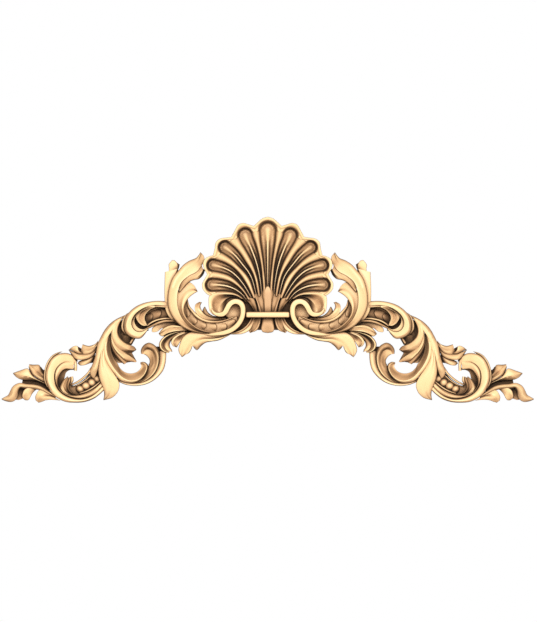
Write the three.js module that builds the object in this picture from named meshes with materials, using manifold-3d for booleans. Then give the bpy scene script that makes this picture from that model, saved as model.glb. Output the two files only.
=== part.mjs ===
// Carved headpiece: a pierced relief of a scallop shell, volutes, bead channels and acanthus scrolls,
// carved in one piece on a flat back. X runs across, Y into the wall and Z up. The flat back lies in y = 0
// and the carving stands forward of it, towards -Y. The origin is on the back, on the centre line.
import * as THREE from 'three';
import { mergeVertices } from 'three/addons/utils/BufferGeometryUtils.js';
import Module from 'manifold-3d';

const wasm = await Module();
wasm.setup();

// Overall sizes
const overall_length = 1064;
const overall_height = 372;
const greatest_relief = 45;

// Rounding of the carved edges: how far it reaches in from an edge and how much it takes off there
const edge_reach = 1.4;
const edge_fall = 1.4;
const thinnest_edge = 2;

// Scallop shell: its dish, flutes and the ridge along the middle of each flute
const shell_rim_relief = 40;
const shell_hub_relief = 22;
const shell_dish_radius = 130;
const shell_dish_centre = 55;
const flute_depth = 19;
const flute_ridge_share = 0.42;

// Tie bar between the volutes
const bar_length = 88;
const bar_width = 11.5;
const bar_relief = 42;
const bar_height = -10.3;

// Volute ribbon
const volute_width = 9.6;
const volute_relief = 44;

// Bead channels
const channel_floor = 10;
const bead_relief = 17;
const bead_sides = 6;

// Husks of the C-scroll's channel: reliefs across the raised end, relief of the low end, facets across
const husk_reliefs = [18, 23, 22.5];
const husk_low = 16.5;
const husk_steps = 3;

// How far every part of the carving runs past the back plane before the back is cut flat
const cut_allowance = 5;

// Spacing of the facets: one at each turn of this many degrees or run of this many millimetres
const facet_turn = 40;
const facet_run = 85;

// The layout is drawn for these sizes and follows the overall sizes above
const layout_length = 1064;
const layout_height = 372;
const layout_relief = 45;
const across_scale = overall_length / layout_length;
const up_scale = overall_height / layout_height;
const relief_scale = greatest_relief / layout_relief;

const clamp = THREE.MathUtils.clamp;
const lerp = THREE.MathUtils.lerp;

// Value of an evenly spaced list at a share from 0 to 1
function along(values, share) {
  const place = clamp(share, 0, 1) * (values.length - 1);
  const first = Math.min(Math.floor(place), values.length - 2);
  return values.length === 1 ? values[0] : lerp(values[first], values[first + 1], place - first);
}

// A rail is a smooth line over the carving: a list of reliefs spread along it, then points across and up
function rail(reliefs, ...run) {
  const plan = [];
  for (let i = 0; i < run.length; i += 2) plan.push(new THREE.Vector2(run[i], run[i + 1]));
  const reach = [0];
  for (let i = 1; i < plan.length; i++) reach.push(reach[i - 1] + plan[i].distanceTo(plan[i - 1]));
  const total = reach[reach.length - 1];
  const points = plan.map((p, i) => new THREE.Vector3(p.x, p.y, along(reliefs, reach[i] / total)));
  return new THREE.CatmullRomCurve3(points, false, 'centripetal');
}

// Shares along a set of rails at which a facet starts, closer together where the rails turn
function stations(rails) {
  const fine = 80;
  const effort = [0];
  const tracks = rails.map((line) => line.getSpacedPoints(fine));
  for (let i = 1; i <= fine; i++) {
    let sharpest = 0;
    let turned = 0;
    let moved = 0;
    for (const track of tracks) {
      const step = track[i].clone().sub(track[i - 1]);
      const next = (track[i + 1] ?? track[i]).clone().sub(track[i]);
      const bend = Math.atan2(step.x * next.y - step.y * next.x, step.x * next.x + step.y * next.y);
      const degrees = i < fine ? THREE.MathUtils.radToDeg(Math.abs(bend)) : 0;
      sharpest = Math.max(sharpest, degrees);
      turned += degrees / rails.length;
      moved += step.length() / rails.length;
    }
    effort.push(effort[i - 1] + (sharpest + turned) / 2 / facet_turn + moved / facet_run);
  }
  const count = Math.max(2, Math.ceil(effort[fine]));
  const shares = [0];
  for (let k = 1, i = 1; k < count; k++) {
    const wanted = effort[fine] * k / count;
    while (effort[i] < wanted) i++;
    shares.push((i - 1 + (wanted - effort[i - 1]) / (effort[i] - effort[i - 1])) / fine);
  }
  shares.push(1);
  return shares;
}

// Closed solid from rows of [across, up, front relief, back relief], on either side of the centre line.
// It starts a little behind the back plane, where the whole carving is cut flat at the end.
function solid_from_rows(rows, side = 1) {
  const vertices = [];
  const index_of = new Map();
  const turned = side * plan_area(rows) < 0;
  const front_index = rows.map((row) => row.map((p) => vertex(p, p[2], 'front')));
  const back_index = rows.map((row) => row.map((p) => vertex(p, p[3] ?? -cut_allowance, 'back')));
  const triangles = [];
  const last_row = rows.length - 1;
  const last_column = rows[0].length - 1;

  function vertex(p, relief, face) {
    const x = side * p[0] * across_scale;
    const z = p[1] * up_scale;
    const key = `${face} ${Math.round(x * 100) || 0} ${Math.round(z * 100) || 0}`;
    if (!index_of.has(key)) {
      index_of.set(key, vertices.length / 3);
      vertices.push(x, -relief * relief_scale, z);
    }
    return index_of.get(key);
  }
  function triangle(a, b, c) {
    if (a !== b && b !== c && c !== a) triangles.push(...(turned ? [a, c, b] : [a, b, c]));
  }
  function wall(i, j, k, l) {
    triangle(front_index[i][j], back_index[i][j], back_index[k][l]);
    triangle(front_index[i][j], back_index[k][l], front_index[k][l]);
  }
  for (let i = 0; i < last_row; i++) {
    for (let j = 0; j < last_column; j++) {
      triangle(front_index[i][j], front_index[i + 1][j], front_index[i + 1][j + 1]);
      triangle(front_index[i][j], front_index[i + 1][j + 1], front_index[i][j + 1]);
      triangle(back_index[i][j], back_index[i + 1][j + 1], back_index[i + 1][j]);
      triangle(back_index[i][j], back_index[i][j + 1], back_index[i + 1][j + 1]);
    }
  }
  const closes = (i) => front_index[i][0] === front_index[i][last_column];
  for (let i = 0; i < last_row; i++) {
    if (closes(i) && closes(i + 1)) continue;
    wall(i, 0, i + 1, 0);
    wall(i + 1, last_column, i, last_column);
  }
  for (let j = 0; j < last_column; j++) {
    wall(0, j + 1, 0, j);
    wall(last_row, j, last_row, j + 1);
  }
  return new wasm.Manifold(new wasm.Mesh({
    numProp: 3,
    vertProperties: Float32Array.from(vertices),
    triVerts: Uint32Array.from(triangles),
  }));
}

// Twice the area that the rows cover in plan, positive when they wind the way that faces forward
function plan_area(rows) {
  let area = 0;
  for (let i = 0; i + 1 < rows.length; i++) {
    for (let j = 0; j + 1 < rows[i].length; j++) {
      const [a, b, c, d] = [rows[i][j], rows[i + 1][j], rows[i + 1][j + 1], rows[i][j + 1]];
      area += (c[0] - a[0]) * (d[1] - b[1]) - (d[0] - b[0]) * (c[1] - a[1]);
    }
  }
  return area;
}

// Point of the carving at a place across the rails, with the crown between them and the rounded edges
function surface_point(cut, place, crown) {
  const last = cut.length - 1;
  const first = Math.min(Math.floor(place), last - 1);
  const share = place - first;
  const widths = cut.slice(1).map((p, i) => Math.hypot(p.x - cut[i].x, p.y - cut[i].y));
  const total = widths.reduce((sum, w) => sum + w, 0);
  const before = widths.slice(0, first).reduce((sum, w) => sum + w, 0) + widths[first] * share;
  const inward = Math.min(before, total - before);
  const rounding = edge_fall * clamp(1 - inward / edge_reach, 0, 1) ** 2;
  const fullness = clamp(total / (4 * edge_reach), 0, 1);
  const relief = lerp(cut[first].z, cut[first + 1].z, share)
    + crown * fullness * 4 * share * (1 - share) - rounding;
  return [
    lerp(cut[first].x, cut[first + 1].x, share),
    lerp(cut[first].y, cut[first + 1].y, share),
    Math.max(relief, thinnest_edge),
  ];
}

// Places across the rails at which the surface is drawn: the rails, and halfway between two domed ones
function places_across(rails, crown) {
  return rails.length === 2 && crown !== 0 ? [0, 0.5, 1] : rails.map((_, i) => i);
}

// A carved leaf or band between two or more rails, as rows of points
function leaf_rows(rails, crown) {
  const places = places_across(rails, crown);
  return stations(rails).map((share) => {
    const cut = rails.map((line) => line.getPointAt(share));
    return places.map((place) => surface_point(cut, place, crown));
  });
}

// Rails of a ribbon along a middle line, with widths and edge reliefs spread along it
function ribbon_rails(middle, widths) {
  const count = 12;
  const sides = [[], []];
  for (let i = 0; i <= count; i++) {
    const share = i / count;
    const at = middle.getPointAt(share);
    const ahead = middle.getTangentAt(share).setZ(0).normalize();
    const half = along(widths, share) / 2;
    sides[0].push(new THREE.Vector3(at.x - ahead.y * half, at.y + ahead.x * half, at.z));
    sides[1].push(new THREE.Vector3(at.x + ahead.y * half, at.y - ahead.x * half, at.z));
  }
  return sides.map((points) => new THREE.CatmullRomCurve3(points, false, 'centripetal'));
}

const solids = [];

// The same rows as a solid on each side of the centre line
function both_sides(rows) {
  solids.push(solid_from_rows(rows, 1), solid_from_rows(rows, -1));
}

// A leaf between rails on each side of the centre line; a crown domes one that has only its two edges
function leaf(rails, crown = 0) {
  both_sides(leaf_rows(rails, crown));
}

// A ribbon along a middle line on each side of the centre line, domed by its crown
function ribbon(middle, widths, crown = 3) {
  leaf(ribbon_rails(middle, widths), crown);
}

// An oval bead on each side of the centre line, sunk in its channel
function bead(across, up, angle, length, width, relief = bead_relief) {
  const turn = THREE.MathUtils.degToRad(angle);
  const rows = [];
  for (let i = 0; i <= 2; i++) {
    const rise = i / 2 * Math.PI / 2;
    const row = [];
    for (let k = 0; k <= bead_sides; k++) {
      const round = k / bead_sides * 2 * Math.PI;
      const a = Math.cos(round) * Math.cos(rise) * length / 2;
      const b = Math.sin(round) * Math.cos(rise) * width / 2;
      row.push([
        across + a * Math.cos(turn) - b * Math.sin(turn),
        up + a * Math.sin(turn) + b * Math.cos(turn),
        lerp(relief * 0.6, relief, Math.sin(rise)),
      ]);
    }
    rows.push(row);
  }
  both_sides(rows);
}

// A husk in a channel, from its raised round end to where it runs under the next one
function husk(start, end) {
  const [first, second] = [rail(husk_reliefs, ...start), rail([husk_low], ...end)];
  const rows = [];
  for (let i = 0; i <= husk_steps; i++) {
    const [a, b] = [first.getPointAt(i / husk_steps), second.getPointAt(i / husk_steps)];
    rows.push([[a.x, a.y, a.z], [b.x, b.y, b.z]]);
  }
  both_sides(rows);
}

// A flat piece of low ground between two edges
function plate(relief, edge, other) {
  const rails = [rail([relief], ...edge), rail([relief], ...other)];
  both_sides(stations(rails).map((share) => rails.map((line) => {
    const at = line.getPointAt(share);
    return [at.x, at.y, at.z];
  })));
}

// Relief of the shell's dish at a place
function dish(x, z) {
  const out = Math.hypot(x, z - shell_dish_centre) / shell_dish_radius;
  return lerp(shell_hub_relief, shell_rim_relief, Math.min(out, 1) ** 2);
}

// Scalloped shell body: five lobes on each side, each a smooth arc between two notches
function shell_rows() {
  const lobes = [
    [[0, 185.5], [11, 182], [20, 174.5], [28, 167]],
    [[28, 167], [38, 170], [49, 173], [59, 169.5], [65.5, 159], [73, 145]],
    [[73, 145], [85, 143.5], [96, 141.5], [104, 134], [106, 122], [109.5, 108.5]],
    [[109.5, 108.5], [118, 106], [126, 101], [129.5, 92], [127.5, 82], [121, 70.5]],
    [[121, 70.5], [126, 61.5], [131, 52], [130, 41], [125, 34], [117.5, 28]],
  ];
  const hub = rail([0], 0, 4, 14, 10, 28, 16, 42, 20, 52, 21.5, 60, 26, 70, 29.5);
  const steps = 4;
  const rows = [];
  lobes.forEach((points, k) => {
    const arc = rail([0], ...points.flat());
    for (let i = k === 0 ? 0 : 1; i <= steps; i++) {
      const edge = arc.getPointAt(i / steps);
      const start = hub.getPointAt((k + i / steps) / lobes.length);
      rows.push([0, 0.5, 0.96, 1].map((share) => {
        const [x, z] = [lerp(start.x, edge.x, share), lerp(start.y, edge.y, share)];
        return [x, z, dish(x, z) - (share === 1 ? edge_fall : 0)];
      }));
    }
  });
  return rows;
}

// Cutter for one flute: a gouge with a ridge along its middle and a round end under the rim
function flute_rows(middle, half_widths) {
  const end = half_widths[half_widths.length - 1] / middle.getLength();
  const places = [-1.06, -0.5, 0, 0.5, 1.06];
  const depths = [-0.06, 1, 1 - flute_ridge_share, 1, -0.06];
  const shares = [0, 0.3, 0.6, 1 - end, 1 - end * 0.4, 1];
  return shares.map((share) => {
    const at = middle.getPointAt(share);
    const ahead = middle.getTangentAt(share).setZ(0).normalize();
    const closing = Math.sqrt(Math.max(0, 1 - Math.max(0, (share - 1 + end) / end) ** 2));
    const half = along(half_widths, share) * closing;
    const depth = flute_depth * lerp(0.45, 1, Math.min(1, share * 1.4)) * closing ** 0.7;
    return places.map((place, k) => {
      const [x, z] = [at.x - ahead.y * half * place, at.y + ahead.x * half * place];
      return [x, z, layout_relief * 1.5, dish(x, z) - depth * depths[k]];
    });
  });
}

function shell() {
  const flutes = [
    [rail([0], 0, 28, 0, 100, 0, 176.5), [3, 5.7, 9.8, 15.3, 18]],
    [rail([0], 12, 28, 14, 50, 18, 75, 24, 98, 34, 124, 43, 143, 49, 163.5), [2.8, 4.7, 8.3, 12.3, 15.5]],
    [rail([0], 22, 26, 26, 42, 31, 60, 38, 74, 51, 91, 66, 109, 82, 122, 97, 131), [2.8, 4.8, 7.8, 11,
      13.5]],
    [rail([0], 31, 20, 38, 33, 47, 48, 60, 64.5, 75, 77, 92, 84.5, 108, 88.5, 121.5, 90), [2.8, 5.2, 8, 11,
      12.8]],
    [rail([0], 43, 20, 50, 29, 58, 36, 68, 42, 80, 46.5, 95, 49, 110, 49.5, 124, 49), [2.5, 6, 10.3, 12.5,
      13]],
  ];
  const body = shell_rows();
  let right = solid_from_rows(body, 1);
  let left = solid_from_rows(body, -1);
  const cutters = flutes.map(([middle, widths]) => flute_rows(middle, widths));
  for (const rows of cutters) {
    right = right.subtract(solid_from_rows(rows, 1));
    left = left.subtract(solid_from_rows(rows, -1));
  }
  solids.push(right, left);
}

function palmette_and_bar() {
  // Bud on the centre line, standing in front of the flutes
  leaf([
    rail([22.5, 30, 31.5], 0, 47.5, 5, 46, 9.5, 41, 12, 32, 10, 16, 8.5, -8),
    rail([29, 33.5, 33.5], 0, 47.5, 2.5, 40, 4, 26, 4, 8, 4, -8),
    rail([30, 34, 34], 0, 47.5, 0, 40, 0, 26, 0, 8, 0, -8),
  ]);
  // Inner and outer leaf above the bar
  leaf([
    rail([23, 28, 29], 12, 31, 9.5, 16, 8, -8),
    rail([24, 30, 30], 27, 31, 20, 16, 13.5, -3, 12, -8),
    rail([23, 27, 28], 28.5, 30, 22.5, 15, 18.5, -3, 17, -8),
  ]);
  leaf([
    rail([22, 27, 27], 50, 20.5, 38, 24.5, 28, 22, 23, 10, 19, -8),
    rail([22, 29, 28], 50, 20.5, 39, 21, 32, 16, 27, 6, 23, -8),
    rail([22, 30, 28], 50, 20.5, 41, 16.5, 34, 9, 28.5, -1, 26, -8),
  ]);
  // Pendant and the two leaves below the bar
  leaf([
    rail([23.5, 29, 27, 16], 10, -12, 11.5, -27, 13, -40, 10, -45, 0, -47),
    rail([26.5, 31.5, 29, 17], 4, -12, 4.5, -28, 5, -40, 3, -45, 0, -47),
    rail([27, 32, 30, 18], 0, -12, 0, -30, 0, -40, 0, -47),
  ]);
  leaf([
    rail([23, 25, 13], 12, -12, 15, -30, 21, -41, 35, -47),
    rail([26, 28, 14], 20, -12, 24.5, -28, 30, -38, 35, -47),
    rail([23, 25, 13], 26, -12, 31, -28, 37, -38, 38, -44, 35, -47),
  ]);
  leaf([
    rail([26, 30, 26], 31, -12, 39, -27, 50, -38, 64, -44.5, 78, -47.5),
    rail([23, 26, 24], 28, -12, 34, -28, 45, -40, 60, -47, 78, -48.5),
    rail([23, 26, 22], 24, -12, 29, -29, 36, -41, 50, -48.5, 64, -50, 78, -50),
  ]);
  // Tie bar
  const half = bar_length / 2;
  const bar = [-1, -0.93, 0.93, 1].map((share) => [-1, -0.7, 0.7, 1].map((rise) => {
    const chamfer = Math.abs(share) === 1 || Math.abs(rise) === 1 ? edge_fall : 0;
    return [share * half, bar_height + rise * bar_width / 2, bar_relief - chamfer];
  }));
  solids.push(solid_from_rows(bar, 1));
}

function volute() {
  // Lowest part of the shell, which sweeps round as a hollow bowl into the volute
  leaf([
    rail([26, 32, 35, 36, 36, 37, 38], 50, 22, 60, 29, 70, 32.2, 80, 33.2, 92, 33.5, 104, 33, 113, 30.5,
      117.5, 26, 118.5, 16, 118, 6,
      116.3, -2.5, 111, -9.3, 104, -13),
    rail([17, 18, 19, 20, 22, 29, 38], 54, 20.8, 62, 25.3, 70, 27.3, 80, 27.2, 89, 25, 97, 21.5, 103, 16,
      106, 10, 106.5, 4, 104, -2,
      98, -7.5),
    rail([19, 23, 26, 28, 31, 36, 38], 55, 20.5, 62, 23.8, 70, 25.3, 77, 24.3, 83, 21.5, 88, 17, 92.5,
      11.5, 96, 6, 98.5, 0, 96, -7),
    rail([15, 14, 15, 17, 20, 30, 38], 57, 17, 64, 17, 70, 16.5, 75, 14, 78.5, 10, 81.5, 5, 84.5, 0, 88,
      -4.5, 91, -8.5),
  ]);
  // Floor of the volute's eye
  leaf([
    rail([13, 13, 15], 50, -10, 53, 9, 66, 15),
    rail([13, 14, 16], 60, -28, 76, -20, 88, -8),
  ], -2);
  // Ribbon from the shell's lowest lobe, round the volute and down into the C-scroll
  ribbon(rail(
    [shell_rim_relief, volute_relief - 2, volute_relief, volute_relief, volute_relief, volute_relief - 2,
      volute_relief - 6, 32],
    112.5, 1, 108.5, -5.5, 103, -9, 96, -10, 89, -8.5, 84, -4, 81, 2.5, 77, 9.5,
    72, 14, 66, 16, 59, 15.2, 53.5, 11.5, 50.2, 5, 49.5, -4, 51, -14, 56, -25, 64, -34.5, 75, -42, 88,
      -46.5, 104, -48
  ), [4, volute_width, volute_width, volute_width + 1, volute_width, volute_width, volute_width - 0.5, 6],
    1);
}

function c_scroll() {
  // Body: from the leaf tip at the top, down the outer edge to the groove
  leaf([
    rail([12, 27, 32.5, 35, 35, 33.5, 30, 27], 134, 115, 143, 103.5, 156, 98, 168, 90, 178, 79, 189, 65,
      196, 48,
      200, 26, 199, 5, 191, -14, 177, -30.5, 161, -40.5, 141, -46.5, 118, -50, 92, -51),
    rail([12, 30, 35, 38, 38, 37, 34, 30], 133, 112, 138, 98, 148, 89, 162, 80, 173, 67, 183, 52, 189, 36,
      192, 18, 189, -2, 181, -18, 168, -31, 152, -40, 134, -45.5, 115, -48.5, 92, -49.5),
    rail([11, 27, 32.5, 36, 34.5, 31.5, 31, 29], 132, 112.5, 127, 104.5, 127.8, 96, 133, 86, 142, 75.5,
      158, 67, 172, 55, 178.5, 40,
      181, 22, 179, 2, 171, -17, 158, -31.5, 143, -40.5, 126, -46, 108, -48, 92, -48.5),
  ]);
  // Fold turned under below the leaf's crease
  leaf([
    rail([23, 28, 30, 30], 133, 92, 142, 80.5, 157, 72, 171, 63, 181, 50),
    rail([26, 30, 32, 32], 130, 82, 137, 72, 150, 64, 163, 56, 177, 40),
    rail([15.5, 26, 29, 30], 125, 79, 129.2, 69, 138, 60.8, 149, 58.5, 159, 53, 176, 34),
  ]);
  // Inner lip, from its round end inside the scroll down along the bead channel
  leaf([
    rail([20, 26, 29, 30, 30, 30, 29], 141, 38, 149, 50, 160, 55.5, 173, 48, 180, 35, 183, 18, 181, -1,
      174, -19,
      160.5, -34.5, 145, -44, 122, -49, 96, -49.5),
    rail([21, 27, 31, 34, 34, 34, 32], 141, 37.5, 150, 40, 160, 37, 168, 28, 172.5, 15, 173, 2, 168.5, -13,
      158.5, -26, 144, -37.5, 126, -44.5, 108, -46.8, 92, -46),
    rail([22, 28, 32, 34, 34, 34, 32], 140, 36, 148.5, 31, 157, 24, 163.8, 14.5, 167.5, 3, 166.5, -8,
      160.5, -19,
      149, -30.5, 136, -38.5, 120, -43.5, 104, -44.8, 88, -42.5),
  ]);
  // Flat leaf behind the scroll, with its rounded top
  leaf([
    rail([24, 26, 26, 24, 20], 180, 82, 186, 62, 192, 36, 192, 5, 184, -14, 170, -33),
    rail([23, 25, 25, 23, 18], 205.5, 75, 206.5, 50, 206.5, 22, 204, -2, 196, -17, 181, -31.5),
  ], 0);
  leaf([
    rail([19, 25, 26], 179, 76, 180.5, 91, 186, 98, 191, 99),
    rail([20, 26, 26], 202, 64, 197.5, 80, 198, 90, 191, 99),
  ], 0);
  // Sprig inside the scroll: a small pointed leaf, a curl, and the inner rail of the channel
  leaf([
    rail([14, 22, 21, 17], 125, 5.5, 123, 1, 119.5, -5, 114, -10, 106, -13.8, 95, -15.5, 84, -17),
    rail([14, 24, 22, 18], 126, 5.5, 126, -1, 122.5, -7, 116, -12, 107, -15.5, 96, -17, 84, -18),
    rail([13, 21, 20, 17], 127, 5.5, 130.5, -2.5, 128, -9.5, 120, -15.5, 109, -18.5, 97, -19.5, 84, -20),
  ]);
  leaf([
    rail([16, 26, 27, 25, 22, 18], 131.5, 14.5, 134.2, 9.5, 134.5, 4, 132.3, -0.8, 128, -7, 120, -13, 108,
      -16.5, 96, -17.5, 84, -18.5),
    rail([18, 28, 28, 26, 22, 18], 134, 14.8, 139.5, 9, 140.3, 2, 137, -4.5, 130, -10.5, 121, -15.5, 109,
      -19, 96, -20, 84, -20),
    rail([16, 26, 25, 23, 20, 17], 136.5, 15.5, 144.3, 10.5, 146, 2, 143.6, -7, 134, -16, 124, -21, 111,
      -24, 98, -24, 84, -22),
  ]);
  leaf([
    rail([16, 23.5, 25, 25, 23, 18], 160, 20.5, 156.5, 8, 149.8, -0.5, 142.3, -8.3, 133, -15.8, 122, -20.5,
      109, -22.2, 96, -21.8, 82, -19, 68, -13.5),
    rail([16, 25, 26, 26, 24, 18], 161.2, 19.8, 159, 7, 152, -3, 144, -12, 134, -18.8, 122, -23.5, 109,
      -24.6, 96, -24, 82, -20.8, 68, -15),
    rail([15, 22.5, 24, 24, 22, 17], 162.5, 19.5, 161, 6, 154, -4.5, 145, -14.5, 135, -21.3, 122, -26, 109,
      -27, 96, -26.4, 82, -22.6, 68, -16.5),
  ]);
  // Channel: its floor, and a row of husks, each with a rounded raised end lapping over the next
  leaf([
    rail([16, 17, 17, 15], 161.5, 19, 158, 4, 150, -6, 138, -18, 120, -24, 100, -24, 82, -20, 62, -14),
    rail([16, 17, 17, 15], 168, 20, 171, 2, 164, -17, 150, -33, 130, -43, 105, -47, 84, -43, 60, -26),
  ]);
  husk([84, -26, 81, -34, 83, -44], [104, -23, 108, -32, 108, -46]);
  husk([105.5, -25, 101.5, -34, 103, -46], [124, -22, 128, -30, 132, -42]);
  husk([124.5, -23, 122, -33, 128, -43.5], [140, -15, 147, -21, 155, -29]);
  husk([141.5, -15, 141, -26, 149, -35], [153, -3, 160, -8, 168, -13]);
  husk([154, -3, 156.5, -14, 165, -18], [160, 18, 165, 18, 170, 19]);
  husk([70, -19, 64.5, -21.5, 62, -27], [82, -20, 87, -30, 85, -43]);
}

function leaves_under_c_scroll() {
  // Long low leaf with two tips
  leaf([
    rail([19, 24, 26, 26, 23, 16], 74, -45.5, 95, -47.5, 118, -46.5, 140, -43.5, 158, -46.5, 170, -56,
      175.8, -68.5, 178.7, -81,
      176, -89, 171.5, -95.5),
    rail([20, 26, 28, 28, 24, 16], 74, -48, 95, -52, 118, -53, 137, -52.5, 152, -56, 163, -65.5, 169.5,
      -77.5, 172, -87,
      171.5, -95.5),
    rail([17, 22, 24, 14, 21, 14], 74, -49.8, 85, -56, 98, -61.8, 113, -64.3, 124, -66.5, 133, -73, 141.5,
      -81.3, 147, -77.5,
      150.2, -73, 153, -80, 157, -86.5, 164.5, -90.5, 171.5, -95.5),
  ]);
  // Small hollow leaf
  leaf([
    rail([21, 24, 24, 22, 16], 158, -45, 170, -46.5, 182, -50.5, 190.5, -58, 193.3, -66, 189.5, -73, 183,
      -75.5),
    rail([20, 20, 16.5, 18, 14], 158, -47, 167, -51, 176, -56.5, 182.5, -63, 184.5, -69, 183, -75.5),
    rail([20, 21, 22, 20, 14], 158, -49, 164, -54, 170, -59.5, 175, -65, 178.5, -70.5, 182, -76),
  ]);
  // Large hollow leaf
  leaf([
    rail([24, 27.5, 28, 26, 21], 166, -42.5, 185, -45.5, 200, -50, 211, -57, 217.5, -68, 216.5, -77, 210.5,
      -83.5, 202, -87),
    rail([22, 23.5, 19.5, 20.5, 20], 166, -44, 182, -48, 195, -53.5, 204, -61, 208.5, -69, 207.5, -76, 203,
      -81, 197, -84),
    rail([21, 20, 16, 17.5, 18], 166, -47, 178, -50.5, 187.5, -57, 193.5, -63.5, 196, -70, 194.8, -76, 192,
      -80.5, 190.8, -85),
  ]);
  // Leaf above it, and a small leaflet in the corner of the next scroll
  leaf([
    rail([25, 28, 29, 25, 19], 162, -35, 178, -31.5, 190, -30.5, 201, -33, 211, -39, 218.5, -48.5),
    rail([26, 30, 30, 26, 20], 162, -38, 178, -35.5, 190, -35, 201, -38, 210, -43.5, 217.5, -48.7),
    rail([25, 28, 27, 23, 18], 162, -42, 178, -43, 192, -45.5, 203, -49.5, 211, -54, 218, -49.5),
  ]);
  leaf([
    rail([12, 16, 12], 212, -25, 224, -31, 231, -37, 232, -44),
    rail([11, 14, 12], 208, -29, 217, -37, 224.5, -41, 230.5, -45),
    rail([12, 15, 12], 206, -33, 214, -39, 222, -44.5, 230.5, -45.4),
  ]);
}

function second_scroll() {
  // Main band, from behind the first scroll over the top and round
  leaf([
    rail([24, 28, 31.5, 28.5, 27.5, 23], 202, 16.5, 225, 17, 246, 13.5, 262, 7, 276, -4, 285.5, -17, 288.5,
      -31, 286.5, -43,
      279, -52, 266, -58, 255, -58, 247, -51, 239, -39),
    rail([26, 30, 35, 36, 33, 26], 202, 11, 225, 12, 244, 8.5, 259, 1.5, 271, -9, 279.5, -22, 281, -34,
      275.5, -44,
      265, -51, 254, -50.5, 246, -45, 239, -38.5),
    rail([26, 29, 32, 32, 30.5, 25], 202, 8, 225, 9, 242, 6, 256, -1, 267, -11, 272.5, -22, 272.5, -32,
      268, -40.5,
      260, -45, 251, -44.5, 245, -41.5, 239, -38),
    rail([26, 30, 34.5, 35, 31.5, 26], 202, 4, 222, 5.2, 237, 3, 250, -2.5, 260, -9.5, 266, -17, 267, -24,
      264, -31.5,
      257.5, -37.5, 249, -39.8, 244, -38.5, 239, -37),
  ]);
  // Curl inside it, with two grooves
  leaf([
    rail([30, 32, 30, 24], 226, 8, 242, 7, 255, 0, 263, -8.5, 263.5, -15.5, 261, -22, 256, -28.5, 249,
      -32.5, 241.5, -32),
    rail([30, 31.5, 29.5, 23], 226, 4.6, 237, 2.8, 246.5, -2.8, 252.5, -10, 254, -18, 251, -25, 246, -29.5,
      241.5, -31.6),
    rail([30, 32, 30, 23], 226, 4.2, 234.5, 0.8, 241.5, -5.5, 245.8, -13, 246, -20, 243.5, -26, 241.5,
      -31.2),
  ]);
  // Thin outer rim between the band and the dark slot
  leaf([
    rail([22, 25, 25, 16], 274, -5, 283, -9, 290, -18.5, 293.3, -30, 293, -39, 289, -46, 284, -51),
    rail([21, 23.5, 23.5, 15], 272, -7, 280, -12, 285, -20, 287, -31, 285.5, -42, 279, -51),
  ], 2);
  // Bead channel with its double lower rail
  leaf([
    rail([channel_floor], 196, 8, 214, 8, 231, 6, 246, -4, 252, -16, 249, -28),
    rail([channel_floor], 182, -27, 200, -24, 213, -25, 225, -28, 236, -33, 244, -37),
  ]);
  ribbon(rail([18, 20, 20, 18], 190, -18.5, 202, -18, 213, -19.2, 224, -22, 234, -27, 242, -33), [3, 4, 4,
    4, 3.5], 0);
  leaf([
    rail([21, 23.5, 23.5, 22, 19], 180, -20.5, 195, -20.5, 206, -21, 218, -24, 230, -29.5, 241, -35.5, 250,
      -40),
    rail([22, 25, 25, 24, 20], 180, -23, 195, -22.5, 206, -23.3, 218, -26.5, 230, -31.7, 241, -37.5, 250,
      -41),
    rail([19, 22.5, 22.5, 21, 18], 180, -26.5, 195, -25.5, 206, -26, 218, -29.2, 230, -34.5, 241, -39.5,
      250, -42.5),
  ]);
  bead(206.5, -8, 90, 22, 14);
  bead(221, -8.5, 90, 22, 15);
  bead(235, -13, 90, 20, 13);
}

function channel_behind_second_scroll() {
  leaf([
    rail([channel_floor - 2], 288, -17, 297, -27, 302, -40, 301, -53, 293, -64, 282, -70, 272, -71),
    rail([channel_floor - 2], 278, -20, 282, -32, 280, -42, 273, -50, 262, -54),
  ]);
  bead(284, -55, -45, 20, 15);
  leaf([
    rail([14, 16], 271.5, -56.5, 277.5, -66.5),
    rail([14, 16], 266, -57, 273, -68.5),
  ], 2);
}

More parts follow.
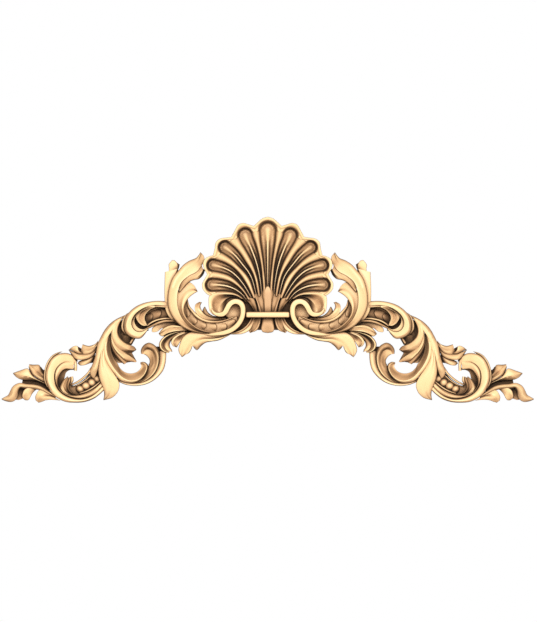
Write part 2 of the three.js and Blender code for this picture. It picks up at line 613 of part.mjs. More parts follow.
function great_leaf() {
  // Crown of the leaf and its right-hand finger
  leaf([
    rail([20, 28, 29.5, 29.5, 30, 27.5, 23.5, 13], 284, -10.5, 290, -13, 298, -16.5, 306, -21, 314, -27,
      321, -34, 327, -42, 332, -51,
      336.5, -60, 340, -68, 342.5, -80, 345.5, -94, 349.5, -106, 353.5, -116, 356, -126, 353, -134.5, 347,
        -140),
    rail([22, 32, 35, 35, 34, 33, 29, 14], 285, -12, 291, -16, 299, -21, 307, -27, 314, -34, 320, -42, 325,
      -51, 329.5, -60,
      333, -70, 336, -82, 339, -95, 343, -107, 347, -118, 350, -127, 349.5, -134, 347, -140),
    rail([22, 31, 34.5, 34, 32.5, 31, 27, 14], 286, -14, 291, -19, 298, -26, 304, -33, 310, -41, 316.5,
      -50, 322, -60, 325.5, -70,
      328, -82, 331, -96, 335, -108, 339, -119, 342.5, -129, 345, -136, 347, -140),
  ]);
  // Fan of leaflets down its left side
  leaf([
    rail([26, 29.5, 27.5, 22, 17.5, 16, 10], 290, -16.5, 297, -29, 300, -39, 300, -47, 297, -55, 290,
      -62.5, 282, -68, 274, -71,
      267, -74.5, 263, -79.5),
    rail([29, 32.5, 33, 31, 28, 20, 11], 297, -19, 306, -33, 308, -46, 306.5, -56, 301.5, -65, 295, -71.5,
      287.5, -76,
      280, -80, 272, -81.5, 263.3, -81.2),
    rail([29.5, 32.5, 31.5, 27.5, 20.5, 16, 9.5], 301, -21, 309, -36, 311, -50, 308.5, -61, 303, -71, 297,
      -77, 290.5, -81.5,
      284, -84.6, 277, -86.3, 271.5, -86.8),
    rail([30, 33, 33, 30, 26, 18.5, 10.5], 304, -23, 310, -38, 312, -52, 309.5, -64, 304, -74.5, 297, -82,
      288, -87.5,
      278.5, -91.5, 270, -97, 262, -104),
    rail([30, 33, 33, 31, 27.5, 19.5, 10.5], 308, -28, 312.5, -43, 313.7, -57, 312.2, -69, 308.7, -79.5,
      304, -88, 298.5, -95,
      293, -101.4, 289.3, -106, 286.3, -109.2),
    rail([29, 31.5, 30.5, 27.5, 22.5, 17, 10], 309, -29, 313, -44, 315, -58, 314.5, -70, 311.5, -80.5, 307,
      -89.5, 302, -96.5,
      297, -102, 292, -106.2, 287.8, -109.4),
  ]);
  // Lower finger
  leaf([
    rail([31, 32, 31, 29, 24, 12], 334, -78, 337, -100, 339, -122, 336.5, -138, 331.5, -152, 328, -163,
      327.3, -172, 328.8, -181),
    rail([32, 34, 34, 32, 26, 12], 329, -78, 331, -100, 327.5, -120, 321, -138, 316.5, -153, 317, -166,
      321, -175, 328, -181),
    rail([29, 30.5, 31, 29, 23, 11], 324, -78, 322.5, -98, 314, -117, 303, -134.5, 296.6, -149, 299.6,
      -164, 311, -176.3, 328.8, -181.6),
  ]);
  // Hooked scroll: its outer slope, bright ridge and hollow
  leaf([
    rail([31, 32, 31, 30, 27.5, 22, 15], 315, -42, 324, -56, 329, -74, 328, -92, 321, -110, 308, -128, 294,
      -142.5,
      275, -147.5, 259, -144.5, 247, -135, 239.5, -122, 239, -112, 243, -106.8, 248.5, -104.6, 254.8,
        -105.5),
    rail([32, 34, 34, 34, 33, 31, 16], 314.5, -44, 320, -58, 322.8, -74, 320.8, -91, 313.5, -108, 302,
      -124.5, 289, -136.7,
      275, -142, 261, -140, 250, -132, 243.8, -120.5, 243, -113, 246, -109, 250, -107.6, 254.8, -107),
    rail([29, 21, 17, 17, 17, 16, 15], 313, -52, 314, -68, 312.5, -84, 306.5, -99, 300, -108.5, 295.5,
      -117, 285.5, -125.3,
      273, -127.8, 262.8, -125.3, 256, -119.8, 253, -113, 254.8, -108.5),
  ]);
}

function lower_scroll() {
  // Outer band
  leaf([
    rail([18, 23, 25, 24.5, 22], 203, -84, 203.2, -96, 204.6, -108, 208.2, -120, 215, -130, 223, -138, 233,
      -145, 245, -150,
      258, -152.5, 270, -152.7, 282, -151, 291, -148, 302, -143),
    rail([20, 26, 28, 27, 24], 209.5, -82, 209.5, -97, 211.5, -110, 216, -121.5, 223.5, -132, 233, -140.5,
      245, -146.8,
      258, -150, 270, -150.4, 282, -148.6, 291, -145.5, 302, -140),
    rail([19, 24, 25, 24.5, 22], 217, -84, 217.5, -97, 219, -108, 222.5, -118.5, 229, -128.5, 237, -136,
      248, -142.5,
      259, -146, 270, -146.5, 282, -144.5, 291, -141.5, 302, -136),
  ]);
  // Hook: its top, bright ridge and hollow
  leaf([
    rail([13, 22.5, 26.5, 26, 23.5, 24.5, 25, 21], 253.5, -88.5, 253.7, -81, 250, -73.4, 244, -68.2, 237,
      -66.3, 229, -69.3, 223, -74.2,
      218.5, -81, 216, -88, 215.5, -97, 216.5, -108, 220, -119, 226, -129, 234.5, -137.5, 245, -144, 258,
        -149, 272, -150.5),
    rail([14, 30, 34, 35, 34, 32, 28, 22], 251.5, -89, 250.8, -81.5, 247, -76, 241, -73, 234.5, -73.3,
      228.5, -76.5,
      224, -81, 220.5, -87, 218.5, -96, 219.2, -107, 222, -117, 227.5, -127, 235.5, -135.5, 246, -142.5,
        258, -147.5, 272, -149.5),
    rail([13, 10, 14, 18, 20, 21.5, 20.5, 20], 249, -89.3, 246.5, -84, 242, -80.5, 236, -80.5, 231, -84,
      227.5, -89, 225.5, -96,
      225.5, -106, 227.5, -115, 232, -124.5, 239, -133, 248, -140, 259, -146, 272, -148.7),
    rail([12, 12, 18, 20, 20, 18, 17.5, 19], 247, -89.8, 243.6, -91.6, 240, -95, 237.2, -99, 236.2, -103.5,
      237, -108,
      238.5, -112, 240.5, -117, 243, -123, 247, -129.5, 253, -136, 262, -142, 272, -145),
  ]);
}

function leaf_cluster() {
  leaf([
    rail([20, 24, 22.5, 20.5, 16], 339, -62, 345, -68.5, 351, -71.3, 358, -72.8, 364, -71.5, 370, -69.5),
    rail([24, 28, 30, 28, 20], 339, -69, 346, -76.5, 353, -81, 361, -83.5, 368, -83.5, 373.5, -82),
    rail([21, 24, 26, 24, 18], 339, -73, 346, -82.5, 354, -87.5, 362, -90, 369, -90.7, 376, -89),
  ]);
  leaf([
    rail([20, 26, 27, 24, 14], 368, -85, 374, -84.5, 378.5, -80, 380.5, -73.5, 385, -72.6, 391, -75, 398.5,
      -81),
    rail([22, 28, 28, 24, 14], 368, -87, 376, -85.5, 382, -81.5, 387, -78.5, 392, -78.5, 398.5, -81.2),
    rail([20, 24, 24, 21, 13], 368, -90, 378, -89, 384, -86, 389, -83.5, 393, -82.3, 398.5, -81.4),
  ]);
  leaf([
    rail([20, 22.5, 24, 22, 13], 340, -72, 347, -80.5, 355, -86, 364, -88.8, 373, -89, 381, -87.3, 388,
      -84, 398, -81.6),
    rail([22, 26, 28, 26, 14], 340, -75.5, 347.5, -85, 356, -91, 365, -94, 374, -95, 382, -93, 389, -88.5,
      397, -83),
    rail([19, 23, 25, 23, 13], 340, -81, 347, -91, 355, -96.5, 364, -99.5, 373, -101, 381, -100.3, 386.5,
      -97, 391.5, -91.5, 396, -85),
  ]);
  leaf([
    rail([15, 17.5, 17.5, 11], 343, -82, 351, -91, 360, -97, 370, -100, 378, -103.8),
    rail([16, 20, 20, 12], 345, -89, 352, -98, 361, -103.5, 370, -106, 379, -105.5),
    rail([13, 17, 17, 10.5], 346, -96, 352, -105, 361, -109.6, 369, -111.8, 375.5, -111.8, 380.5, -107.5),
  ]);
}

function third_scroll() {
  // Band of the scroll with a groove along its middle
  leaf([
    rail([15, 23, 28, 30, 29.5, 28, 25.5, 22], 384, -101, 390, -92, 398, -88, 408, -87, 420, -89.5, 431,
      -97, 439, -109, 444, -124,
      444, -140, 439.5, -154, 431.5, -168, 419.5, -178, 404, -184.8, 385, -186.5, 366, -185, 348, -178.5,
        334, -168, 326, -160),
    rail([16, 26, 32, 34, 33, 32, 30.5, 24], 385, -102, 392, -94.5, 401, -92, 411, -93, 421, -98, 430,
      -107, 436, -119, 438, -132,
      436, -147, 430, -158, 420, -169, 408, -176.5, 393, -181, 375, -182, 357, -178, 341, -169.5, 328,
        -157),
    rail([16, 24, 29, 30, 29, 28.5, 28, 24], 386, -105, 395, -104, 405, -104, 415, -108.5, 423, -117, 427,
      -127.5, 427.5, -139,
      425, -150, 419.5, -160, 411, -168.5, 400, -175, 386, -179, 370, -179.5, 355, -175, 342, -167, 329,
        -154.5),
    rail([14, 23, 28, 30, 27.5, 28, 27.5, 22], 388.5, -119.5, 396, -119, 403, -118.5, 410, -121.5, 416.5,
      -130, 420, -140, 419.5, -152,
      415, -160, 406.5, -166.5, 396, -170.5, 383, -171.5, 369, -169.5, 356, -164.5, 345, -157, 332, -145),
  ]);
  // Thin outer rim
  leaf([
    rail([12, 22, 24, 22, 16], 411, -83.8, 418, -85.2, 426, -88.3, 433.5, -94, 440.5, -103.5, 445.3, -115,
      447.5, -128, 447.5, -140,
      444.3, -150, 437.5, -160.5, 428, -169.5),
    rail([11, 20, 22, 20, 15], 411, -84.2, 417, -88, 424, -92.5, 430, -98, 436, -107, 440.3, -118, 442,
      -129, 442, -140,
      438, -150, 431, -159, 424, -167),
  ], 2);
  // Inner leaf with its grooves
  leaf([
    rail([15, 23, 23.5, 25], 400, -133.5, 409, -141, 414.5, -150, 418, -158.5, 413.5, -167, 404.5, -174,
      392, -178),
    rail([15, 22, 21.5, 25], 397, -136, 400, -143, 402, -149, 402.3, -154.5, 400.3, -161.5, 395, -167.3,
      384, -171.5),
    rail([16, 26, 29, 28], 395.5, -134.5, 397.5, -142, 399.2, -149, 399.4, -155, 397.5, -161.5, 392.5,
      -166.7, 382, -170.8),
    rail([14, 23, 25.5, 25], 393.5, -134.5, 394.3, -142, 396.8, -149, 397.2, -155, 395, -161, 390, -166,
      380, -170),
  ]);
  // Small folds behind the leaf and behind the start of the band
  ribbon(rail([12, 14, 12], 392, -134, 391.3, -141, 395, -150), [5, 6, 5], 0);
  ribbon(rail([14, 17, 14], 385.5, -99, 384.2, -111, 384.5, -122.5), [5, 6, 6], 0);
  // Bead channel between its two double rails
  leaf([
    rail([channel_floor], 340, -128, 354, -127, 365, -138, 377, -147, 389, -152, 400, -146),
    rail([channel_floor], 324, -141, 340, -154, 354, -164, 366, -171, 380, -173, 398, -167),
  ]);
  leaf([
    rail([15, 22, 22, 15], 349, -109.5, 355, -117, 361.5, -126.5, 371.5, -136, 382, -143.5, 393, -149),
    rail([16, 24, 24, 16], 346, -111, 352.5, -119.5, 359, -129, 369.3, -138.6, 380.2, -146.3, 393, -151.5),
    rail([14, 21, 21, 14], 344.6, -111.6, 351.2, -120.4, 358.2, -130, 368.6, -139.6, 380, -147.5, 393,
      -152.3),
  ]);
  ribbon(rail([14, 16, 16, 12], 347, -122, 357, -134, 368, -143.2, 380, -150.5, 392, -155), [3, 3, 3, 2],
    0);
  ribbon(rail([18, 20, 20, 16], 330, -140, 342, -150.8, 352, -158, 363, -163.8, 376, -168), [3, 3.5, 3.5,
    3], 0);
  leaf([
    rail([20, 23, 23, 18], 328, -141, 339.5, -152, 350.5, -160, 362.5, -166.3, 374, -170),
    rail([20, 24, 24, 18], 326, -143, 338, -154.5, 349, -163, 361.5, -169.5, 374, -173),
  ], 0);
  bead(349, -143, 128, 19, 17);
  bead(361, -151.5, 128, 17, 17);
  bead(374.5, -158.5, 128, 15, 15);
}

function arm_end() {
  // Upper leaf with a gouge cut
  leaf([
    rail([14, 16.5, 16.5, 18, 13], 443, -131, 448.5, -127, 452.5, -120, 456, -112, 459, -110.3, 468,
      -110.3, 477, -109.4),
    rail([15, 21, 23, 22, 14], 443, -134, 450.5, -129, 456.5, -122, 462, -116.5, 469, -113, 477.3, -111),
    rail([16, 22, 24, 22, 14], 443, -141, 452, -136.5, 461.5, -131, 469.5, -124, 474.5, -117, 478, -113.5),
    rail([14, 19, 20, 19, 13], 443, -148, 453, -142.5, 464, -136.5, 472, -130, 476.5, -122, 478, -115),
  ]);
  // Middle leaf
  leaf([
    rail([15, 21, 23, 21, 13], 441, -148, 455, -141.3, 464, -136.8, 471, -131, 475.5, -124.5, 478.5, -119,
      482, -117.8, 494, -121.5, 509.5, -127),
    rail([16, 24, 26, 24, 14], 441, -150, 456, -143.2, 468, -138, 480, -133.5, 491, -132, 501, -130, 509.5,
      -127.6),
    rail([14, 16.5, 15.5, 16.5, 12], 441, -153, 457, -145, 472, -142.3, 486, -141.3, 496, -139.3, 503.5,
      -134.8, 509.5, -128.2),
  ]);
  // Last leaf, running out to the tip
  leaf([
    rail([19, 21, 23, 24, 22, 11], 424, -170, 436, -163, 446, -156.8, 456, -152.3, 468, -149.8, 483,
      -148.6, 496, -146.8, 504, -149.3,
      510.8, -154.8, 515.5, -163.5, 519.5, -171, 525, -174.3, 532, -178.3),
    rail([20, 24, 26, 28, 26, 12], 424, -173, 437, -166, 448, -160, 459, -156, 472, -154.3, 486, -154, 498,
      -154, 505.5, -159,
      510, -167.5, 515, -175.5, 522, -179, 532, -179.2),
    rail([19, 20.5, 18.5, 17.5, 15.5, 10], 424, -176, 439, -168.5, 451, -163, 463, -160, 475, -159.5, 488,
      -158.8, 495.5, -158, 498.3, -164,
      500, -173, 504, -180.5, 512, -184.8, 523, -183.8, 532, -180.2),
  ]);
  leaf([
    rail([20, 22, 20, 10], 468, -152, 481, -156, 488, -161.5, 491, -170, 490.8, -176.5, 486, -181),
    rail([19, 21, 20, 10], 464, -154, 475, -160, 482, -167, 485.5, -175, 485, -181.3),
    rail([12.5, 14.5, 16, 9.5], 457, -157, 465, -162, 471, -168.5, 475, -176, 479, -181.3, 484, -181.8),
  ]);
  leaf([
    rail([18, 20, 21, 19, 10], 424, -170, 438, -164.5, 449, -161.5, 457.6, -161.6, 461.5, -167, 465, -175,
      464, -182),
    rail([17, 17.5, 18.5, 18, 10], 424, -174, 438, -170.7, 448, -169.8, 455, -172, 459.5, -177, 461.5,
      -184),
    rail([18, 20, 22, 20, 10], 424, -177, 437, -174.3, 446, -174.5, 453, -177, 458, -181, 460, -185),
    rail([16, 17, 18, 17, 9.5], 414, -182.5, 424, -181, 436, -180.5, 445, -182, 452, -184.8, 458.5, -186.5),
  ]);
}

function ground() {
  plate(6, [0, 12, 28, 27, 62, 26], [0, -39, 14, -41, 26, -41, 38, -41.5, 50, -43.5, 60, -45.5, 76, -48]);
  plate(6, [74, -10, 96, -13, 112, -12, 126, -4, 134, -2], [70, -22, 96, -22, 118, -20, 136, -12]);
  plate(6, [242, -28, 254, -22, 264, -12], [238, -42, 256, -46, 272, -28]);
  plate(14, [178, -24, 200, -22, 226, -28], [178, -34, 204, -38, 224, -36]);
  plate(12, [149, -42, 160, -40, 178, -40, 196, -42, 212, -47], [147, -48, 158, -52, 172, -59, 188, -62,
    204, -62]);
  plate(6, [211, -76, 218, -74, 223, -74], [208, -90, 218, -92, 226, -80]);
  plate(8, [338, -84, 348, -94, 364, -100], [340, -100, 348, -106, 362, -108]);
  plate(5, [386, -117, 398, -114, 412, -116, 424, -134, 422, -156], [386, -120.8, 396, -121.3, 403, -125.8,
    407, -139, 414, -158]);
  plate(6, [382, -92, 391, -90, 398, -89], [380, -104, 386, -104, 396, -96]);
  plate(5, [436, -160, 448, -147, 466, -138, 490, -138], [436, -166, 450, -158, 470, -151, 492, -150]);
  plate(6, [484, -152, 497, -154, 504, -164, 506, -180], [482, -158, 486, -166, 489, -177, 498, -181]);
  plate(12, [289, -107, 299, -99, 306, -80, 310, -56], [300, -107, 310, -98, 318, -80, 322, -56]);
  plate(6, [238, -108, 240, -122, 252, -138, 270, -146], [234, -112, 236, -126, 248, -142, 268, -149]);
  plate(5, [370, -80, 376, -76, 380, -74], [372, -90, 378, -90, 384, -86]);
  plate(5, [444, -122, 449, -120, 454, -114], [442, -140, 452, -138, 460, -130]);
  plate(6, [176, 90, 178, 82, 182, 74], [182, 94, 186, 84, 190, 72]);
  plate(6, [332, -116, 344, -122], [334, -132, 348, -134]);
}

shell();
palmette_and_bar();
volute();
c_scroll();
leaves_under_c_scroll();
second_scroll();
channel_behind_second_scroll();
great_leaf();
lower_scroll();
leaf_cluster();
third_scroll();
arm_end();
ground();

// The half space in front of the back plane, as a block larger than the carving
function front_space() {
  const reach = overall_length * 2;
  const box = new THREE.BoxGeometry(reach, greatest_relief * 2, reach).translate(0, -greatest_relief, 0);
  box.deleteAttribute('normal');
  box.deleteAttribute('uv');
  const block = mergeVertices(box);
  return new wasm.Manifold(new wasm.Mesh({
    numProp: 3,
    vertProperties: Float32Array.from(block.attributes.position.array),
    triVerts: Uint32Array.from(block.index.array),
  }));
}

// One solid of all the carving, cut flat at the back
const carving = solids.reduce((whole, solid) => whole.add(solid)).intersect(front_space());
const mesh_data = carving.getMesh();
const geometry = new THREE.BufferGeometry();
geometry.setAttribute('position', new THREE.BufferAttribute(new Float32Array(mesh_data.vertProperties), 3));
geometry.setIndex(new THREE.BufferAttribute(new Uint32Array(mesh_data.triVerts), 1));
geometry.computeVertexNormals();

const wood = new THREE.MeshStandardMaterial({ color: '#e3b27c', roughness: 0.55, metalness: 0 });
const headpiece = new THREE.Mesh(geometry, wood);
headpiece.name = 'carved_headpiece';

const group = new THREE.Group();
group.add(headpiece);
export default group;
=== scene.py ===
import math

import bmesh
import bpy
import numpy as np
from mathutils import Matrix, Vector


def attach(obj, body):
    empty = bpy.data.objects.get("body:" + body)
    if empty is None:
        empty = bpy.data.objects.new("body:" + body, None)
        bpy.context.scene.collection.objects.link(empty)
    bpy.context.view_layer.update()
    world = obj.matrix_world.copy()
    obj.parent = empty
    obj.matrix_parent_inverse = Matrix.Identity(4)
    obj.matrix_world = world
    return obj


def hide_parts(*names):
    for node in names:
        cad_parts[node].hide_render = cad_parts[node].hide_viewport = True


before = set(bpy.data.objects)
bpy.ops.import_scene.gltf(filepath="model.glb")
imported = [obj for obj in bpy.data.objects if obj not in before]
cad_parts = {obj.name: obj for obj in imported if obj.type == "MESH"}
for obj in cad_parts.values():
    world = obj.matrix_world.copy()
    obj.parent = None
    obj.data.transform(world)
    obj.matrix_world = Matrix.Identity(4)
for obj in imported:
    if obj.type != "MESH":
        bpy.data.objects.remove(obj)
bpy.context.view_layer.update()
bpy.ops.object.select_all(action="DESELECT")

# Scallop shell
# The shell is the crown of the ornament and is cut in the same lime wood as all the rest.
# Its dish is carved first, then the flutes are cut down into it with a gouge, from the rim to the hub.
# Sizes are in mm: across from the centre line, up from the mount, and relief from the flat back
edge_reach = 1.4
edge_fall = 1.4
thinnest_edge = 2
row_turn = 9
row_spacing = 3.6
shell_rim_relief = 40
shell_hub_relief = 22
shell_dish_radius = 130
shell_dish_centre = 55
flute_depth = 18
flute_ridge_share = 0.2
flute_valley = 0.5
right_half = []


def along(values, share):
    """Value of an evenly spaced list at shares from 0 to 1."""
    return np.interp(np.asarray(share) * (len(values) - 1), np.arange(len(values)), values)


def rail(reliefs, *run):
    """A smooth line over the carving: reliefs spread along it, then points across and up."""
    plan = np.array(run, float).reshape(-1, 2)
    reach = np.concatenate([[0], np.cumsum(np.hypot(*np.diff(plan, axis=0).T))])
    points = np.column_stack([plan, along(reliefs, reach / reach[-1])])
    return smooth_line(points)


def smooth_line(points):
    """A dense centripetal curve through points, as its places and how far along each one lies."""
    points = np.asarray(points, float)
    padded = np.vstack([2 * points[0] - points[1], points, 2 * points[-1] - points[-2]])
    pieces = []
    for a, b, c, d in zip(padded, padded[1:], padded[2:], padded[3:]):
        gap = [max(np.linalg.norm(q - p), 1e-4) ** 0.5 for p, q in ((a, b), (b, c), (c, d))]
        leave = ((b - a) / gap[0] - (c - a) / (gap[0] + gap[1]) + (c - b) / gap[1]) * gap[1]
        arrive = ((c - b) / gap[1] - (d - b) / (gap[1] + gap[2]) + (d - c) / gap[2]) * gap[1]
        t = np.linspace(0, 1, 25)[:-1, None]
        pieces.append(b + t * leave + t**2 * (3 * (c - b) - 2 * leave - arrive)
                      + t**3 * (2 * (b - c) + leave + arrive))
    line = np.vstack([*pieces, points[-1:]])
    reach = np.concatenate([[0], np.cumsum(np.linalg.norm(np.diff(line, axis=0), axis=1))])
    return line, reach


def at_share(line, share):
    """Places at shares of a line's length."""
    places, reach = line
    wanted = np.asarray(share) * reach[-1]
    return np.column_stack([np.interp(wanted, reach, places[:, k]) for k in range(3)])


def direction(line, share):
    """Unit direction of a line in plan at shares of its length."""
    share = np.asarray(share)
    before, after = (at_share(line, np.clip(share + step, 0, 1))[:, :2] for step in (-0.002, 0.002))
    return (after - before) / np.linalg.norm(after - before, axis=1)[:, None]


def stations(rails, fewest=6):
    """Shares at which a row of points is set, closer together where the rails turn."""
    fine = np.linspace(0, 1, 241)
    effort = np.zeros(240)
    for line in rails:
        step = np.diff(at_share(line, fine)[:, :2], axis=0)
        angle = np.unwrap(np.arctan2(step[:, 1], step[:, 0]))
        effort += np.degrees(np.abs(np.diff(angle, append=angle[-1]))) / row_turn
        effort += np.hypot(*step.T) / row_spacing
    effort = np.concatenate([[0], np.cumsum(effort / len(rails) + 1e-6)])
    count = max(fewest, math.ceil(effort[-1]))
    return np.interp(np.linspace(0, effort[-1], count + 1), effort, fine)


def closed_mesh(rows):
    """Closed mesh from rows of [across, up, relief] in mm: its front, its walls and its flat back."""
    grid = np.asarray(rows, float)
    index_of = {}
    vertices = []

    def vertex(x, z, relief, is_front):
        key = (is_front, round(x, 2) + 0.0, round(z, 2) + 0.0)
        if key not in index_of:
            index_of[key] = len(vertices)
            vertices.append((x / 1000, -relief / 1000, z / 1000))
        return index_of[key]

    fronts = [[vertex(x, z, relief, True) for x, z, relief in row] for row in grid]
    backs = [[vertex(x, z, 0.0, False) for x, z, relief in row] for row in grid]
    faces = []

    def face(*corners):
        kept = [c for i, c in enumerate(corners) if c != corners[i - 1]]
        if len(set(kept)) == len(kept) > 2:
            faces.append(kept)

    last_row, last_column = len(grid) - 1, len(grid[0]) - 1
    for i in range(last_row):
        for j in range(last_column):
            a, b, c, d = fronts[i][j], fronts[i + 1][j], fronts[i + 1][j + 1], fronts[i][j + 1]
            face(a, b, c)
            face(a, c, d)
            a, b, c, d = backs[i][j], backs[i + 1][j], backs[i + 1][j + 1], backs[i][j + 1]
            face(a, c, b)
            face(a, d, c)

    def wall(i, j, k, l):
        face(fronts[i][j], backs[i][j], backs[k][l])
        face(fronts[i][j], backs[k][l], fronts[k][l])

    shut = [fronts[i][0] == fronts[i][-1] for i in range(last_row + 1)]
    for i in range(last_row):
        if not (shut[i] and shut[i + 1]):
            wall(i, 0, i + 1, 0)
            wall(i + 1, last_column, i, last_column)
    for j in range(last_column):
        wall(0, j + 1, 0, j)
        wall(last_row, j, last_row, j + 1)
    mesh = bpy.data.meshes.new("carving")
    mesh.from_pydata(vertices, [], faces)
    mesh.validate()
    tidy = bmesh.new()
    tidy.from_mesh(mesh)
    bmesh.ops.recalc_face_normals(tidy, faces=tidy.faces)
    tidy.to_mesh(mesh)
    tidy.free()
    return mesh


def add_object(mesh):
    """A linked object with this mesh, at the world origin."""
    shape = bpy.data.objects.new("carving", mesh)
    bpy.context.collection.objects.link(shape)
    return shape


def carve(rows):
    """Add one more form to the right half of the carving."""
    right_half.append(add_object(closed_mesh(rows)))


def dish(x, z):
    """Relief of the shell's dish at a place."""
    out = np.minimum(np.hypot(x, z - shell_dish_centre) / shell_dish_radius, 1)
    return shell_hub_relief + (shell_rim_relief - shell_hub_relief) * out**2


lobes = [
    [0, 185.5, 11, 182, 20, 174.5, 28, 167],
    [28, 167, 38, 170, 49, 173, 59, 169.5, 65.5, 159, 73, 145],
    [73, 145, 85, 143.5, 96, 141.5, 104, 134, 106, 122, 109.5, 108.5],
    [109.5, 108.5, 118, 106, 126, 101, 129.5, 92, 127.5, 82, 121, 70.5],
    [121, 70.5, 126, 61.5, 131, 52, 130, 41, 125, 34, 117.5, 28],
]
flutes = [
    [
        rail([0], 0, 28, 0, 100, 0, 176.5),
        [3, 5.7, 9.8, 15.3, 18],
    ],
    [
        rail([0], 12, 28, 14, 50, 18, 75, 24, 98, 34, 124, 43, 143, 49, 163.5),
        [2.8, 4.7, 8.3, 12.3, 15.5],
    ],
    [
        rail([0], 22, 26, 26, 42, 31, 60, 38, 74, 51, 91, 66, 109, 82, 122, 97, 131),
        [2.8, 4.8, 7.8, 11, 13.5],
    ],
    [
        rail([0], 31, 20, 38, 33, 47, 48, 60, 64.5, 75, 77, 92, 84.5, 108, 88.5, 121.5, 90),
        [2.8, 5.2, 8, 11, 12.8],
    ],
    [
        rail([0], 43, 20, 50, 29, 58, 36, 68, 42, 80, 46.5, 95, 49, 110, 49.5, 124, 49),
        [2.5, 6, 10.3, 12.5, 13],
    ],
]


def ease(value, low, high):
    """A smooth step from 0 at low to 1 at high."""
    t = np.clip((value - low) / (high - low), 0, 1)
    return t * t * (3 - 2 * t)


flute_depth_at_hub = 0.5
flute_full_depth_at = 1 / 1.4
flute_rows = 40
last_rib = rail([0], 42, 14, 50, 22, 60, 29, 70, 32.2, 80, 33.2, 92, 33.5, 104, 33.3, 111, 32)
crest_flat = 0.11
crest_height = 0.5
half_columns = np.array([0, crest_flat, 0.25, 0.36, flute_valley, 0.65, 0.78, 0.9, 1])
flute_columns = np.concatenate([-half_columns[:0:-1], half_columns])
rib_columns = np.array([0, 0.3, 0.6, 0.8])
rib_share = 0.3
rim_steps = np.array([2.5, 1.4, 0.9, 0.5, 0.2, 0]) / 30
rim_columns = np.concatenate([np.linspace(0, 0.82, 16)[1:], 1 - rim_steps])
rim_lip = 0.6


def wall(out, broad):
    """Share of a flute's depth on its side wall, from 1 at its lowest line to 0 on the edge."""
    t = np.clip((out - flute_valley) / (1.02 - flute_valley), 0, 1)
    return 1 - 0.4 * (1 - broad) * t - (0.6 + 0.4 * broad) * t**3


def crest(out, broad):
    """Height of the ridge along a flute's middle: a thin crisp line, or broad and soft where broad is 1."""
    thin = crest_height * (1 - np.clip((out - crest_flat) / (flute_valley - crest_flat), 0, 1)) ** 1.9
    soft = flute_ridge_share * (1 - np.clip(out / 0.75, 0, 1) ** 2) ** 1.5
    return thin * (1 - broad) + soft * broad


def flute_edges(k, shares):
    """Left edge, middle and right edge of flute k at shares of its length."""
    middle, half_widths = flutes[k]
    places = at_share(middle, shares)[:, :2]
    ahead = direction(middle, shares)
    side = np.column_stack([ahead[:, 1], -ahead[:, 0]]) * along(half_widths, shares)[:, None]
    return places - side, places, places + side


blocks = []
for k, (middle, half_widths) in enumerate(flutes):
    cap = 1 - half_widths[-1] / middle[1][-1]
    shares = np.linspace(0, cap, flute_rows)
    left, centre, right = flute_edges(k, shares)
    if k + 1 < len(flutes):
        next_rib = (right + flute_edges(k + 1, shares)[0]) / 2
    else:
        next_rib = at_share(last_rib, shares)[:, :2]
    if k > 0:
        rib = (left + flute_edges(k - 1, shares)[2]) / 2
    half = np.hypot(*(right - centre).T)
    across, outs, ribs = [], [], []
    if k > 0:
        for way in rib_columns:
            across.append(rib + (left - rib) * way)
            outs.append(1 + np.hypot(*(left - across[-1]).T) / half)
            ribs.append(1 - way)
    for u in flute_columns[flute_columns >= (0 if k == 0 else -1)]:
        across.append(centre + (right - centre) * u)
        outs.append(np.full(len(shares), abs(u)))
        ribs.append(0)
    for way in 1 - rib_columns[::-1]:
        across.append(right + (next_rib - right) * way)
        outs.append(1 + np.hypot(*(right - across[-1]).T) / half)
        ribs.append(way)
    across, outs, ribs = np.stack(across, axis=1), np.stack(outs, axis=1), np.array(ribs)
    depth = flute_depth * np.interp(shares, [0, flute_full_depth_at], [flute_depth_at_hub, 1])[:, None]
    broad = ease(shares, 0.35, 0.95)[:, None] if k > 0 else 0.5 + 0.5 * ease(shares, 0.6, 0.95)[:, None]
    share = rib_share * (1 - ribs) ** 2 + (1 - rib_share) * wall(outs, broad) - crest(outs, broad)
    inner = dish(across[..., 0], across[..., 1]) - depth * share
    # From the flute's round end to the rim
    last = across[-1]
    widths = np.concatenate([[0], np.cumsum(np.hypot(*np.diff(last, axis=0).T))])
    rim = at_share(rail([0], *lobes[k]), widths / widths[-1])[:, :2]
    span = np.hypot(*(rim - last).T)
    ways = rim_columns[:, None, None]
    outer = last + (rim - last) * ways
    inward = (1 - ways[..., 0]) * span
    out = np.hypot(outer[..., 0] - centre[-1, 0], outer[..., 1] - centre[-1, 1]) / half[-1]
    ending = ease(out, 1, 1.25)
    side = rib_share * (1 - ribs) ** 2 * (1 - ending) + (1 - rib_share) * wall(out, 1)
    body = dish(outer[..., 0], outer[..., 1]) - flute_depth * (side - crest(out, 1))
    rim_height = dish(rim[:, 0], rim[:, 1]) + rim_lip
    relief = body + (rim_height - body) * (1 - ease(inward, 3, 8))
    near = np.minimum(inward / edge_reach, 1)
    relief = relief - edge_fall * (1 - np.sqrt(1 - (1 - near) ** 2))
    flute_block = np.dstack([across, inner])
    rim_block = np.dstack([outer, relief])
    blocks.append(np.concatenate([flute_block, rim_block]))
carve(np.concatenate(blocks, axis=1))

# Palmette
# The bud and leaves between the volutes stand in front of the hub, and the pendant leaves hang below
# the bar. They are cut in the same wood, each leaf hollowed with a gouge between its raised edges.
column_width = 2.2


